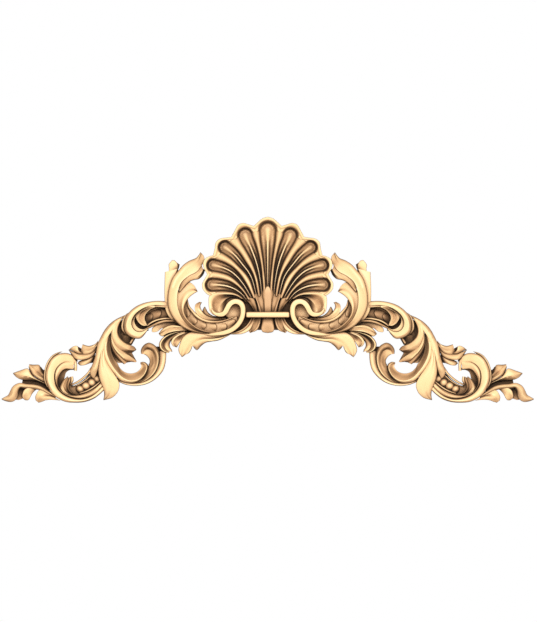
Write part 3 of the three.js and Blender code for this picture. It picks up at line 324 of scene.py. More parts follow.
def slopes(places, reliefs):
    """Slopes of a curve through the reliefs that never overshoots them."""
    step = np.maximum(np.diff(places, axis=1), 1e-6)
    rise = np.diff(reliefs, axis=1) / step
    both = rise[:, :-1] + rise[:, 1:]
    inner = np.where(
        rise[:, :-1] * rise[:, 1:] > 0,
        2 * rise[:, :-1] * rise[:, 1:] / np.where(both == 0, 1, both),
        0,
    )
    return step, rise, np.column_stack([rise[:, :1], inner, rise[:, -1:]])


def leaf(rails, swells=(), fall=edge_fall):
    """A carved leaf or band between its rails, domed between them by its swells, with rounded edges."""
    shares = stations(rails)
    cuts = np.stack([at_share(line, shares) for line in rails], axis=1)
    widths = np.hypot(*np.moveaxis(np.diff(cuts[:, :, :2], axis=1), 2, 0))
    places = np.column_stack([np.zeros(len(shares)), np.cumsum(widths, axis=1)])
    step, rise, slope = slopes(places, cuts[:, :, 2])
    total = places[:, -1]
    fullness = np.clip(total / (4 * edge_reach), 0, 1)
    columns = []
    last = len(rails) - 2
    for k in range(last + 1):
        wide = float(np.mean(widths[:, k]))
        parts = np.linspace(0, 1, max(2, min(9, round(wide / column_width))) + 1)
        near = np.array([0.15, 0.4, 0.8, 1.4]) / max(wide, 3)
        if k == 0:
            parts = np.unique(np.concatenate([near, parts[(parts == 0) | (parts > near[-1] + 0.05)]]))
        if k == last:
            inside = parts[(parts == 1) | (parts < 1 - near[-1] - 0.05)]
            parts = np.unique(np.concatenate([1 - near, inside]))
        swell = swells[k] if k < len(swells) else 0
        for t in parts if k == last else parts[:-1]:
            x, z = (cuts[:, k, i] + (cuts[:, k + 1, i] - cuts[:, k, i]) * t for i in (0, 1))
            relief = (
                cuts[:, k, 2] * (1 + 2 * t) * (1 - t) ** 2 + cuts[:, k + 1, 2] * t * t * (3 - 2 * t)
                + step[:, k] * (slope[:, k] * t * (1 - t) ** 2 - slope[:, k + 1] * t * t * (1 - t))
                + swell * fullness * 4 * t * (1 - t)
            )
            distance = places[:, k] + widths[:, k] * t
            inward = np.clip(np.minimum(distance, total - distance) / edge_reach, 0, 1)
            relief = relief - fall * (1 - np.sqrt(1 - (1 - inward) ** 2))
            columns.append(np.column_stack([x, z, np.maximum(relief, thinnest_edge)]))
    carve(np.stack(columns, axis=1))


# Bud on the centre line, standing in front of the flutes
leaf([
    rail([16, 21, 21], 0, 47.5, 5, 46, 9.5, 41, 12, 32, 10, 16, 8.5, -8),
    rail([23, 26.3, 25.3], 0, 47.5, 2.5, 40, 4, 26, 4, 8, 4, -8),
    rail([23.2, 26.5, 25.5], -2, 47.5, -2, 40, -2, 26, -2, 8, -2, -8),
], [1, 0])
# Inner and outer leaf above the bar
leaf([
    rail([19, 24, 25], 12, 31, 9.5, 16, 8, -8),
    rail([20, 26, 26], 27, 31, 20, 16, 13.5, -3, 12, -8),
    rail([19, 23, 24], 28.5, 30, 22.5, 15, 18.5, -3, 17, -8),
], [-3, 1])
leaf([
    rail([18, 23, 23], 50, 20.5, 38, 24.5, 28, 22, 23, 10, 19, -8),
    rail([18, 25, 24], 50, 20.5, 39, 21, 32, 16, 27, 6, 23, -8),
    rail([18, 26, 24], 50, 20.5, 41, 16.5, 34, 9, 28.5, -1, 26, -8),
], [2, -3])
# Pendant and the two leaves below the bar
leaf([
    rail([19.5, 25, 23, 16], 10, -12, 11.5, -27, 13, -40, 10, -45, 0, -47),
    rail([22.5, 27.5, 25, 17], 4, -12, 4.5, -28, 5, -40, 3, -45, 0, -47),
    rail([23, 28, 26, 18], -2, -12, -2, -30, -2, -40, -2, -47),
], [1, 0])
leaf([
    rail([19, 21, 13], 12, -12, 15, -30, 21, -41, 35, -47),
    rail([21, 23, 14], 15, -12, 19, -30, 25, -40, 35, -47),
    rail([22, 24, 14], 20, -12, 24.5, -28, 30, -38, 35, -47),
    rail([19, 21, 13], 26, -12, 31, -28, 37, -38, 38, -44, 35, -47),
], [1, 2, -2])
leaf([
    rail([22, 26, 22], 31, -12, 39, -27, 50, -38, 64, -44.5, 78, -47.5),
    rail([19, 22, 20], 28, -12, 34, -28, 45, -40, 60, -47, 78, -48.5),
    rail([19, 22, 18], 24, -12, 29, -29, 36, -41, 50, -48.5, 64, -50, 78, -50),
], [2, 1])
# A plain rounded bar ties the two volutes together
bar_length = 88
bar_width = 11.5
bar_relief = 42
bar_height = -10.3
bar_rounding = 3.4
bpy.ops.mesh.primitive_cube_add(size=1, location=(0, 0, 0))
bar = bpy.context.object
bar.data.transform(Matrix.Diagonal((bar_length / 1000, bar_relief / 1000, bar_width / 1000, 1)))
bar.data.transform(Matrix.Translation((0, -bar_relief / 2000, bar_height / 1000)))
rounding = bar.modifiers.new("rounding", "BEVEL")
rounding.width = bar_rounding / 1000
rounding.segments = 4
bpy.ops.object.modifier_apply(modifier="rounding")

# Volutes
# The two volutes grow out of the shell's lowest lobes, curl inwards and run down into the C-scrolls.
# Each is a narrow ribbon, the highest part of the carving, round a hollow eye.
volute_width = 9.6
volute_relief = 44


def ribbon(middle, widths, crown=3):
    """A narrow rounded band along a middle line, with widths spread along it."""
    shares = stations([middle], fewest=12)
    places = at_share(middle, shares)
    half = (along(widths, shares) / 2)[:, None]
    ahead = direction(middle, shares)
    side = np.column_stack([-ahead[:, 1], ahead[:, 0]]) * half
    edges = [np.column_stack([places[:, :2] + way * side, places[:, 2]]) for way in (1, -1)]
    leaf([smooth_line(points) for points in edges], [crown])


# Lowest part of the shell, which sweeps round as a hollow bowl into the volute
leaf([
    rail([26, 32, 35, 36, 36, 37, 38], 50, 22, 60, 29, 70, 32.2, 80, 33.2, 92, 33.5, 104, 33, 113, 30.5,
        117.5, 26, 118.5, 16, 118, 6, 116.3, -2.5, 111, -9.3, 104, -13),
    rail([25.5, 31, 34, 35, 35.5, 36.5, 38], 52, 21.5, 61, 27, 70, 29.8, 80, 30.6, 92, 30.6, 102, 29.6,
        109, 26, 112.3, 18, 112.5, 8, 110.5, 1, 106, -4, 100, -8),
    rail([22, 23, 24, 25, 26, 31, 38], 54, 20.8, 62, 25.3, 70, 27.3, 80, 27.2, 89, 25, 97, 21.5, 103, 16,
        106, 10, 106.5, 4, 104, -2, 98, -7.5),
    rail([23, 26, 28.5, 30, 32, 36, 38], 55, 20.5, 62, 23.8, 70, 25.3, 77, 24.3, 83, 21.5, 88, 17,
        92.5, 11.5, 96, 6, 98.5, 0, 96, -7),
    rail([20, 20.5, 21.5, 23, 26, 33, 38], 56, 20, 63, 22.5, 70, 22.8, 76, 21.5, 81, 18, 84.5, 12.5,
        87, 7, 89.5, 2, 92, -2.5, 93.5, -7),
    rail([19, 19, 20, 21.5, 24, 32, 38], 57, 17, 64, 17, 70, 16.5, 75, 14, 78.5, 10, 81.5, 5, 84.5, 0,
        88, -4.5, 91, -8.5),
])
# Floor of the volute's eye
leaf([
    rail([13, 13, 15], 50, -10, 53, 9, 66, 15),
    rail([13, 14, 16], 60, -28, 76, -20, 88, -8),
], [-2])
# Ribbon from the shell's lowest lobe, round the volute and down into the C-scroll
ribbon(
    rail(
        [shell_rim_relief, volute_relief - 2, *[volute_relief] * 3,
         volute_relief - 2, volute_relief - 6, 33, 26],
        112.5, 1, 108.5, -5.5, 103, -9, 96, -10, 89, -8.5, 84, -4, 81, 2.5, 77, 9.5, 72, 14, 66, 16,
        59, 15.2, 53.5, 11.5, 50.2, 5, 49.5, -4, 51, -14, 56, -25, 64, -34.5, 75, -42, 88, -46.5,
        104, -48.8, 120, -49.5, 136, -48),
    [4, volute_width, volute_width, volute_width + 1, volute_width, volute_width, volute_width - 0.5, 7, 3],
    1,
)

# C-scroll and its beads
# A broad C-scroll springs from a leaf tip beside the shell, sweeps down and returns into the volute.
# Its body is a full rounded band with a thinner lip along the bead channel, all one piece of wood.
channel_floor = 10
husk_crown_share = 0.19
bead_relief = 17.5
bead_turn = 128


def husk(start, end, sunk=0):
    """A husk in a channel, from its raised round end to where it runs under the next one."""
    crown = husk_crown_share * math.dist(start[:2], start[-2:])
    first = rail([16 - sunk, 16.5 - sunk + crown, 17 - sunk], *start)
    second = rail([15.7 - sunk], *end)
    rows = []
    for share in np.linspace(0, 1, 15):
        a, b = at_share(first, [share])[0], at_share(second, [share])[0]
        way = np.concatenate([[0, 0.03, 0.07, 0.12], np.linspace(0.2, 1, 8)])[:, None]
        line = a + (b - a) * way
        nose = np.sqrt(1 - (1 - np.minimum(way[:, 0] / 0.12, 1)) ** 2)
        line[:, 2] = b[2] + (a[2] - b[2]) * (1 - way[:, 0]) ** 1.3 * nose
        line[:, 2] -= 1.5 * (2 * share - 1) ** 4
        rows.append(line)
    carve(rows)


def bead(across, up, length, width):
    """A round bead sunk in its channel, turned to lie along it."""
    turn = math.radians(bead_turn)
    rise = np.radians(np.linspace(0, 90, 8))
    around = np.radians(np.linspace(0, 360, 33))
    a = np.outer(np.cos(rise), np.cos(around)) * length / 2
    b = np.outer(np.cos(rise), np.sin(around)) * width / 2
    x = across + a * math.cos(turn) - b * math.sin(turn)
    z = up + a * math.sin(turn) + b * math.cos(turn)
    height = bead_relief * (0.5 + 0.5 * np.sin(rise))[:, None] + np.zeros_like(x)
    carve(np.stack([x, z, height], axis=2))


# Body: from the leaf tip at the top, down the outer edge to the groove
leaf([
    rail([12, 27, 32.5, 35, 35, 33.5, 30, 27], 134, 115, 143, 103.5, 156, 98, 168, 90, 178, 79, 189, 65,
        196, 48, 200, 26, 199, 5, 191, -14, 177, -30.5, 161, -40.5, 141, -46.5, 118, -50, 92, -51),
    rail([12, 30, 35, 38, 38, 37, 34, 30], 133, 112, 138, 98, 148, 89, 162, 80, 173, 67, 183, 52, 189, 36,
        192, 18, 189, -2, 181, -18, 168, -31, 152, -40, 134, -45.5, 115, -48.5, 92, -49.5),
    rail([11, 27, 32.5, 36, 34.5, 31.5, 31, 29], 132, 112.5, 127, 104.5, 127.8, 96, 133, 86, 142, 75.5,
        158, 67, 172, 55, 178.5, 40, 181, 22, 179, 2, 171, -17, 158, -31.5, 143, -40.5, 126, -46,
        108, -48, 92, -48.5),
], [2, -1])
# Fold turned under below the leaf's crease
leaf([
    rail([23, 28, 30, 30], 133, 92, 142, 80.5, 157, 72, 171, 63, 181, 50),
    rail([26, 30, 32, 32], 130, 82, 137, 72, 150, 64, 163, 56, 177, 40),
    rail([15.5, 26, 29, 30], 125, 79, 129.2, 69, 138, 60.8, 149, 58.5, 159, 53, 176, 34),
], [-2, 2])
# Inner lip, from its round end inside the scroll down along the bead channel
leaf([
    rail([20, 26, 29, 30, 30, 30, 29], 141, 38, 149, 50, 160, 55.5, 173, 48, 180, 35, 183, 18, 181, -1,
        174, -19, 160.5, -34.5, 145, -44, 122, -49, 96, -49.5),
    rail([21, 27, 31, 34, 34, 34, 32], 141, 37.5, 150, 40, 160, 37, 168, 28, 172.5, 15, 173, 2,
        168.5, -13, 158.5, -26, 144, -37.5, 126, -44.5, 108, -46.8, 92, -46),
    rail([22, 28, 32, 34, 34, 34, 32], 140, 36, 148.5, 31, 157, 24, 163.8, 14.5, 167.5, 3, 166.5, -8,
        160.5, -19, 149, -30.5, 136, -38.5, 120, -43.5, 104, -44.8, 88, -42.5),
], [-2, 2])
# Flat leaf behind the scroll, with its rounded top
leaf([
    rail([24, 26, 26, 24, 20], 180, 82, 186, 62, 192, 36, 192, 5, 184, -14, 170, -33),
    rail([23, 25, 25, 23, 18], 205.5, 75, 206.5, 50, 206.5, 22, 204, -2, 196, -17, 181, -31.5),
], [1])
leaf([
    rail([19, 25, 26], 179, 76, 180.5, 91, 186, 98, 191, 99),
    rail([20, 26, 26], 202, 64, 197.5, 80, 198, 90, 191, 99),
], [1])
# Sprig inside the scroll: a small pointed leaf, a curl, and the inner rail of the channel
leaf([
    rail([14, 22, 21, 17], 125, 5.5, 123, 1, 119.5, -5, 114, -10, 106, -13.8, 95, -15.5, 84, -17),
    rail([14, 24, 22, 18], 126, 5.5, 126, -1, 122.5, -7, 116, -12, 107, -15.5, 96, -17, 84, -18),
    rail([13, 21, 20, 17], 127, 5.5, 130.5, -2.5, 128, -9.5, 120, -15.5, 109, -18.5, 97, -19.5, 84, -20),
])
leaf([
    rail([16, 26, 27, 25, 22, 18], 131.5, 14.5, 134.2, 9.5, 134.5, 4, 132.3, -0.8, 128, -7, 120, -13,
        108, -16.5, 96, -17.5, 84, -18.5),
    rail([18, 28, 28, 26, 22, 18], 134, 14.8, 139.5, 9, 140.3, 2, 137, -4.5, 130, -10.5, 121, -15.5,
        109, -19, 96, -20, 84, -20),
    rail([16, 26, 25, 23, 20, 17], 136.5, 15.5, 144.3, 10.5, 146, 2, 143.6, -7, 134, -16, 124, -21,
        111, -24, 98, -24, 84, -22),
], [1, -1])
leaf([
    rail([16, 23.5, 25, 25, 23, 18], 160, 20.5, 156.5, 8, 149.8, -0.5, 142.3, -8.3, 133, -15.8,
        122, -20.5, 109, -22.2, 96, -21.8, 82, -19, 68, -13.5),
    rail([16, 25, 26, 26, 24, 18], 161.2, 19.8, 159, 7, 152, -3, 144, -12, 134, -18.8, 122, -23.5,
        109, -24.6, 96, -24, 82, -20.8, 68, -15),
    rail([15, 22.5, 24, 24, 22, 17], 162.5, 19.5, 161, 6, 154, -4.5, 145, -14.5, 135, -21.3, 122, -26,
        109, -27, 96, -26.4, 82, -22.6, 68, -16.5),
])
# Channel: its floor, and a row of husks, each with a rounded raised end lapping over the next
leaf([
    rail([16, 17, 17, 15], 161.5, 19, 158, 4, 150, -6, 138, -18, 120, -24, 100, -24, 82, -20, 62, -14),
    rail([16, 17, 17, 15], 168, 20, 171, 2, 164, -17, 150, -33, 130, -43, 105, -47, 84, -43, 60, -26),
])
husk([84, -26, 81, -34, 83, -44], [104, -23, 108, -32, 108, -46])
husk([105.5, -25, 101.5, -34, 103, -46], [124, -22, 128, -30, 132, -42])
husk([124.5, -23, 122, -33, 128, -43.5], [140, -15, 147, -21, 155, -29])
husk([141.5, -15, 141, -26, 149, -35], [153, -3, 160, -8, 168, -13])
husk([154, -3, 156.5, -14, 165, -18], [160, 18, 165, 18, 170, 19])
husk([70, -19, 64.5, -21.5, 62, -27], [82, -20, 87, -30, 85, -43])

# Leaves under the C-scroll
# A spray of acanthus grows from under the C-scroll and covers the joint of the two scrolls.
# The long leaf lies flat, and the two behind it are cupped like spoons.
# Long low leaf with two tips
leaf([
    rail([19, 24, 26, 26, 23, 16], 74, -45.5, 95, -47.5, 118, -46.5, 140, -43.5, 158, -46.5, 170, -56,
        175.8, -68.5, 178.7, -81, 176, -89, 171.5, -95.5),
    rail([20, 26, 28, 28, 24, 16], 74, -48, 95, -52, 118, -53, 137, -52.5, 152, -56, 163, -65.5,
        169.5, -77.5, 172, -87, 171.5, -95.5),
    rail([19, 24, 26, 26, 23, 16], 74, -48.6, 94, -54.7, 114, -57, 131, -57.5, 144.5, -62, 156, -71.5,
        163, -82, 167, -89, 171.5, -95.5),
    rail([20, 26, 28, 27, 23, 15], 74, -49.2, 93, -57, 110, -60.5, 127, -61.5, 140, -66, 151, -73.5,
        157, -81.5, 163.5, -89, 171.5, -95.5),
    rail([17, 22, 24, 14, 21, 14], 74, -49.8, 85, -56, 98, -61.8, 113, -64.3, 124, -66.5, 133, -73,
        141.5, -81.3, 147, -77.5, 150.2, -73, 153, -80, 157, -86.5, 164.5, -90.5, 171.5, -95.5),
], [1, 1, 1, 1])
# Small hollow leaf
leaf([
    rail([21, 24, 24, 22, 16], 158, -45, 170, -46.5, 182, -50.5, 190.5, -58, 193.3, -66, 189.5, -73,
        183, -75.5),
    rail([22, 24, 24, 22, 16], 158, -46, 169, -48.5, 179.5, -53, 187, -60, 189.5, -67, 187, -72,
        183, -75.5),
    rail([20, 20, 16.5, 18, 14], 158, -47, 167, -51, 176, -56.5, 182.5, -63, 184.5, -69, 183, -75.5),
    rail([20, 21, 22, 20, 14], 158, -49, 164, -54, 170, -59.5, 175, -65, 178.5, -70.5, 182, -76),
], [0, -1, 1])
# Large hollow leaf
leaf([
    rail([24, 27.5, 28, 26, 21], 166, -42.5, 185, -45.5, 200, -50, 211, -57, 217.5, -68, 216.5, -77,
        210.5, -83.5, 202, -87),
    rail([24, 29, 30, 28, 22], 166, -43, 184, -46.5, 198, -51.5, 208, -59, 213.5, -69, 212, -77, 206, -83,
        197, -86.5),
    rail([22, 23.5, 19.5, 20.5, 20], 166, -44, 182, -48, 195, -53.5, 204, -61, 208.5, -69, 207.5, -76,
        203, -81, 197, -84),
    rail([23, 26.5, 26.5, 25, 20], 166, -45.5, 180, -49.5, 192, -55, 200, -63, 203.5, -70.5, 202, -77,
        199, -81, 195.5, -83.5),
    rail([21, 20, 16, 17.5, 18], 166, -47, 178, -50.5, 187.5, -57, 193.5, -63.5, 196, -70, 194.8, -76,
        192, -80.5, 190.8, -85),
], [1, -1, 1, 1])
# Leaf above it, and a small leaflet in the corner of the next scroll
leaf([
    rail([25, 28, 29, 25, 19], 162, -35, 178, -31.5, 190, -30.5, 201, -33, 211, -39, 218.5, -48.5),
    rail([26, 30, 30, 26, 20], 162, -38, 178, -35.5, 190, -35, 201, -38, 210, -43.5, 217.5, -48.7),
    rail([25, 27, 26, 23, 18], 162, -40, 178, -39, 191, -40, 202, -44, 211, -48, 217.5, -48.8),
    rail([25, 28, 27, 23, 18], 162, -42, 178, -43, 192, -45.5, 203, -49.5, 211, -54, 218, -49.5),
], [1, -1, 1])
leaf([
    rail([12, 16, 12], 212, -25, 224, -31, 231, -37, 232, -44),
    rail([11, 14, 12], 208, -29, 217, -37, 224.5, -41, 230.5, -45),
    rail([12, 15, 12], 206, -33, 214, -39, 222, -44.5, 230.5, -45.4),
])

# Second scroll
# The second scroll carries on the sweep of the arch: a broad band rolls over its own curl.
# It leaves a bead channel between them, with a double bead moulding along the channel's lower side.
# Main band, from behind the first scroll over the top and round
leaf([
    rail([24, 28, 31.5, 28.5, 27.5, 23], 202, 16.5, 225, 17, 246, 13.5, 262, 7, 276, -4, 285.5, -17,
        288.5, -31, 286.5, -43, 279, -52, 266, -58, 255, -58, 247, -51, 239, -39),
    rail([26, 30, 35, 36, 33, 26], 202, 11, 225, 12, 244, 8.5, 259, 1.5, 271, -9, 279.5, -22, 281, -34,
        275.5, -44, 265, -51, 254, -50.5, 246, -45, 239, -38.5),
    rail([26, 30.5, 34, 34.5, 32.5, 26], 202, 8, 225, 9, 242, 6, 256, -1, 267, -11, 272.5, -22,
        272.5, -32, 268, -40.5, 260, -45, 251, -44.5, 245, -41.5, 239, -38),
    rail([25, 28, 30.5, 31, 29.5, 25], 202, 6.7, 224.6, 7.7, 241.5, 4.8, 255, -2, 265.9, -11.7,
        271.2, -22.2, 271.2, -31.7, 267, -39.4, 259.6, -43.7, 251.2, -43.3, 245, -40.4, 239, -37.5),
    rail([26, 30, 34.5, 35, 31.5, 26], 202, 4, 222, 5.2, 237, 3, 250, -2.5, 260, -9.5, 266, -17, 267, -24,
        264, -31.5, 257.5, -37.5, 249, -39.8, 244, -38.5, 239, -37),
], [1, 0, 0])
# Curl inside it, with two grooves
leaf([
    rail([30, 32, 30, 24], 226, 8, 242, 7, 255, 0, 263, -8.5, 263.5, -15.5, 261, -22, 256, -28.5,
        249, -32.5, 241.5, -32),
    rail([30, 29, 27, 23], 226, 4.8, 239, 3.8, 249, -2, 256, -9.5, 258, -17, 255.5, -24, 249.5, -29,
        241.5, -31.8),
    rail([30, 31.5, 29.5, 23], 226, 4.6, 237, 2.8, 246.5, -2.8, 252.5, -10, 254, -18, 251, -25,
        246, -29.5, 241.5, -31.6),
    rail([30, 29, 27, 23], 226, 4.4, 236, 2, 244.5, -3.5, 250, -11, 250.7, -19, 248, -25.5, 241.5, -31.4),
    rail([30, 32, 30, 23], 226, 4.2, 234.5, 0.8, 241.5, -5.5, 245.8, -13, 246, -20, 243.5, -26,
        241.5, -31.2),
])
# Thin outer rim between the band and the dark slot
leaf([
    rail([22, 25, 25, 16], 274, -5, 283, -9, 290, -18.5, 293.3, -30, 293, -39, 289, -46, 284, -51),
    rail([21, 23.5, 23.5, 15], 272, -7, 280, -12, 285, -20, 287, -31, 285.5, -42, 279, -51),
], [2])
# Bead channel with its double lower rail
leaf([
    rail([channel_floor - 6.5], 196, 8, 214, 8, 231, 6, 246, -4, 252, -16, 249, -28),
    rail([channel_floor - 6.5], 182, -27, 200, -24, 213, -25, 225, -28, 236, -33, 244, -37),
])
ribbon(
    rail([18, 20, 20, 18], 190, -18.5, 202, -18, 213, -19.2, 224, -22, 234, -27, 242, -33),
    [3, 4, 4, 4, 3.5],
    1.5,
)
leaf([
    rail([21, 23.5, 23.5, 22, 19], 180, -20.5, 195, -20.5, 206, -21, 218, -24, 230, -29.5, 241, -35.5,
        250, -40),
    rail([22, 25, 25, 24, 20], 180, -23, 195, -22.5, 206, -23.3, 218, -26.5, 230, -31.7, 241, -37.5,
        250, -41),
    rail([19, 22.5, 22.5, 21, 18], 180, -26.5, 195, -25.5, 206, -26, 218, -29.2, 230, -34.5, 241, -39.5,
        250, -42.5),
])
husk([199, 3, 196, -7, 200, -18], [215, 3, 217, -7, 218, -19], 10.5)
husk([215, 2, 212, -7, 217, -18.5], [232, -3, 234.5, -12, 233, -23], 10.5)
husk([233, -5, 229.5, -13.5, 233, -23.5], [244, -10, 248, -18, 244, -29], 10.5)

# Channel behind the second scroll
# A scrap of the bead channel shows again between the second scroll and the great leaf.
# It lies deep, closed at its lower end by a small flat bar.
leaf([
    rail([channel_floor - 5], 288, -17, 297, -27, 302, -40, 301, -53, 293, -64, 282, -70, 272, -71),
    rail([channel_floor - 5], 278, -20, 282, -32, 280, -42, 273, -50, 262, -54),
])
husk([273, -46, 281, -40, 293, -39], [275, -58, 285, -54, 297, -53], 9)
husk([270, -54, 279, -51, 294, -51], [272, -66, 281, -65, 291, -66], 9)
leaf([
    rail([14, 16], 271.5, -56.5, 277.5, -66.5),
    rail([14, 16], 266, -57, 273, -68.5),
], [2])

# Great leaf
# The great leaf folds down over the end of the second scroll and hides the start of the next.
# Its crown is broad and smooth, its left side fans into gouged leaflets, its right side into two fingers.
# Crown of the leaf and its right-hand finger
leaf([
    rail([20, 28, 29.5, 29.5, 30, 27.5, 23.5, 13], 284, -10.5, 290, -13, 298, -16.5, 306, -21, 314, -27,
        321, -34, 327, -42, 332, -51, 336.5, -60, 340, -68, 342.5, -80, 345.5, -94, 349.5, -106,
        353.5, -116, 356, -126, 353, -134.5, 347, -140),
    rail([22, 32, 35, 35, 34, 33, 29, 14], 285, -12, 291, -16, 299, -21, 307, -27, 314, -34, 320, -42,
        325, -51, 329.5, -60, 333, -70, 336, -82, 339, -95, 343, -107, 347, -118, 350, -127, 349.5, -134,
        347, -140),
    rail([22, 31, 34.5, 34, 32.5, 31, 27, 14], 286, -14, 291, -19, 298, -26, 304, -33, 310, -41,
        316.5, -50, 322, -60, 325.5, -70, 328, -82, 331, -96, 335, -108, 339, -119, 342.5, -129,
        345, -136, 347, -140),
])
# Fan of leaflets down its left side
leaf([
    rail([27, 30, 31, 31, 29, 25, 12], 290, -16.5, 297, -29, 300, -39, 300, -47, 297, -55, 290, -62.5,
        282, -68, 274, -71, 267, -74.5, 263, -79.5),
    rail([28, 32, 33, 33, 32, 28, 14], 292, -17, 300, -30, 302.5, -40, 302, -48, 298.5, -56.5, 291.5, -64,
        283.5, -69.5, 275.5, -73, 268.7, -76.5, 263, -80),
    rail([28, 31.5, 32.5, 32, 31, 27, 13], 294, -18, 302, -31, 304.5, -41, 303.5, -50, 299.5, -58.5,
        293, -65.5, 285, -71, 277, -75, 269.7, -78, 263, -80.5),
    rail([29, 33, 34, 34, 34, 30, 14], 297, -19, 306, -33, 308, -46, 306.5, -56, 301.5, -65, 295, -71.5,
        287.5, -76, 280, -80, 272, -81.5, 263.3, -81.2),
    rail([29.5, 33, 33, 32, 30.5, 26, 12], 301, -21, 309, -36, 311, -50, 308.5, -61, 303, -71, 297, -77,
        290.5, -81.5, 284, -84.6, 277, -86.3, 271.5, -86.8),
    rail([30, 33.5, 34, 33.5, 31.5, 25.5, 12.5], 304, -23, 310, -38, 312, -52, 309.5, -64, 304, -74.5,
        297, -82, 288, -87.5, 278.5, -91.5, 270, -97, 262, -104),
    rail([30, 33, 33.3, 32.3, 29, 23.5, 12], 305, -25, 311, -40, 312.5, -54, 310.5, -66, 305.5, -76.5,
        299, -84.5, 291, -91, 283, -97, 274, -102, 264, -105.6),
    rail([30, 33, 33.5, 32.5, 30.5, 24.5, 12], 306, -26, 311.5, -41, 313, -55, 311, -67, 306.5, -77.5,
        300.5, -85.5, 294, -92, 288, -98, 281, -103, 273.5, -104.8),
    rail([30, 33, 33, 32, 29, 23.5, 11.5], 307, -27, 312, -42, 313.3, -56, 311.5, -68, 307.5, -78,
        302, -86.5, 296, -93, 290, -99, 285.3, -103.8, 281.5, -106.2),
    rail([30, 33.5, 34, 33.5, 32, 26, 12.5], 308, -28, 312.5, -43, 313.7, -57, 312.2, -69, 308.7, -79.5,
        304, -88, 298.5, -95, 293, -101.4, 289.3, -106, 286.3, -109.2),
    rail([29, 31.5, 31, 29, 25.5, 20.5, 12], 309, -29, 313, -44, 315, -58, 314.5, -70, 311.5, -80.5,
        307, -89.5, 302, -96.5, 297, -102, 292, -106.2, 287.8, -109.4),
])
# Lower finger
leaf([
    rail([31, 32, 31, 29, 24, 12], 334, -78, 337, -100, 339, -122, 336.5, -138, 331.5, -152, 328, -163,
        327.3, -172, 328.8, -181),
    rail([32, 34, 34, 32, 26, 12], 329, -78, 331, -100, 327.5, -120, 321, -138, 316.5, -153, 317, -166,
        321, -175, 328, -181),
    rail([29, 30.5, 31, 29, 23, 11], 324, -78, 322.5, -98, 314, -117, 303, -134.5, 296.6, -149,
        299.6, -164, 311, -176.3, 328.8, -181.6),
], [2, 1])
# Hooked scroll: its outer slope, bright ridge and hollow
leaf([
    rail([31, 32, 31, 30, 27.5, 22, 15], 315, -42, 324, -56, 329, -74, 328, -92, 321, -110, 308, -128,
        294, -142.5, 275, -147.5, 259, -144.5, 247, -135, 239.5, -122, 239, -112, 243, -106.8,
        248.5, -104.6, 254.8, -105.5),
    rail([32, 34, 34, 34, 33, 31, 16], 314.5, -44, 320, -58, 322.8, -74, 320.8, -91, 313.5, -108,
        302, -124.5, 289, -136.7, 275, -142, 261, -140, 250, -132, 243.8, -120.5, 243, -113, 246, -109,
        250, -107.6, 254.8, -107),
    rail([30, 24, 20, 19, 18.5, 17, 15], 313, -52, 314, -68, 312.5, -84, 306.5, -99, 300, -108.5,
        295.5, -117, 285.5, -125.3, 273, -127.8, 262.8, -125.3, 256, -119.8, 253, -113, 254.8, -108.5),
], [1, -3])

# Lower scroll
# Under the spray of leaves a hooked scroll rolls the other way, towards the great leaf.
# Its outer band is a plain rounded moulding, its hook is hollowed with a large gouge.
# Outer band
leaf([
    rail([18, 23, 25, 24.5, 22], 203, -84, 203.2, -96, 204.6, -108, 208.2, -120, 215, -130, 223, -138,
        233, -145, 245, -150, 258, -152.5, 270, -152.7, 282, -151, 291, -148, 302, -143),
    rail([20, 26, 28, 27, 24], 209.5, -82, 209.5, -97, 211.5, -110, 216, -121.5, 223.5, -132, 233, -140.5,
        245, -146.8, 258, -150, 270, -150.4, 282, -148.6, 291, -145.5, 302, -140),
    rail([19, 24, 25, 24.5, 22], 217, -84, 217.5, -97, 219, -108, 222.5, -118.5, 229, -128.5, 237, -136,
        248, -142.5, 259, -146, 270, -146.5, 282, -144.5, 291, -141.5, 302, -136),
], [1, 0])
# Hook: its top, bright ridge and hollow
leaf([
    rail([13, 22.5, 26.5, 26, 23.5, 24.5, 25, 21], 253.5, -88.5, 253.7, -81, 250, -73.4, 244, -68.2,
        237, -66.3, 229, -69.3, 223, -74.2, 218.5, -81, 216, -88, 215.5, -97, 216.5, -108, 220, -119,
        226, -129, 234.5, -137.5, 245, -144, 258, -149, 272, -150.5),
    rail([14, 30, 34, 35, 34, 32, 28, 22], 251.5, -89, 250.8, -81.5, 247, -76, 241, -73, 234.5, -73.3,
        228.5, -76.5, 224, -81, 220.5, -87, 218.5, -96, 219.2, -107, 222, -117, 227.5, -127,
        235.5, -135.5, 246, -142.5, 258, -147.5, 272, -149.5),
    rail([13, 18, 25, 28.5, 29, 27.5, 23.5, 20], 249, -89.3, 246.5, -84, 242, -80.5, 236, -80.5, 231, -84,
        227.5, -89, 225.5, -96, 225.5, -106, 227.5, -115, 232, -124.5, 239, -133, 248, -140, 259, -146,
        272, -148.7),
    rail([13, 16, 21, 24.5, 25, 23, 22.5, 20], 247.5, -89.4, 243.5, -88.5, 239, -89.5, 235, -92.5,
        232, -97, 230.8, -103, 231.5, -110, 233.5, -117, 236, -123.5, 241, -130.8, 249, -138, 260, -144.8,
        272, -148),
    rail([12, 13, 16, 18, 18, 17, 17, 19], 247, -89.8, 243.6, -91.6, 240, -95, 237.2, -99, 236.2, -103.5,
        237, -108, 238.5, -112, 240.5, -117, 243, -123, 247, -129.5, 253, -136, 262, -142, 272, -145),
])

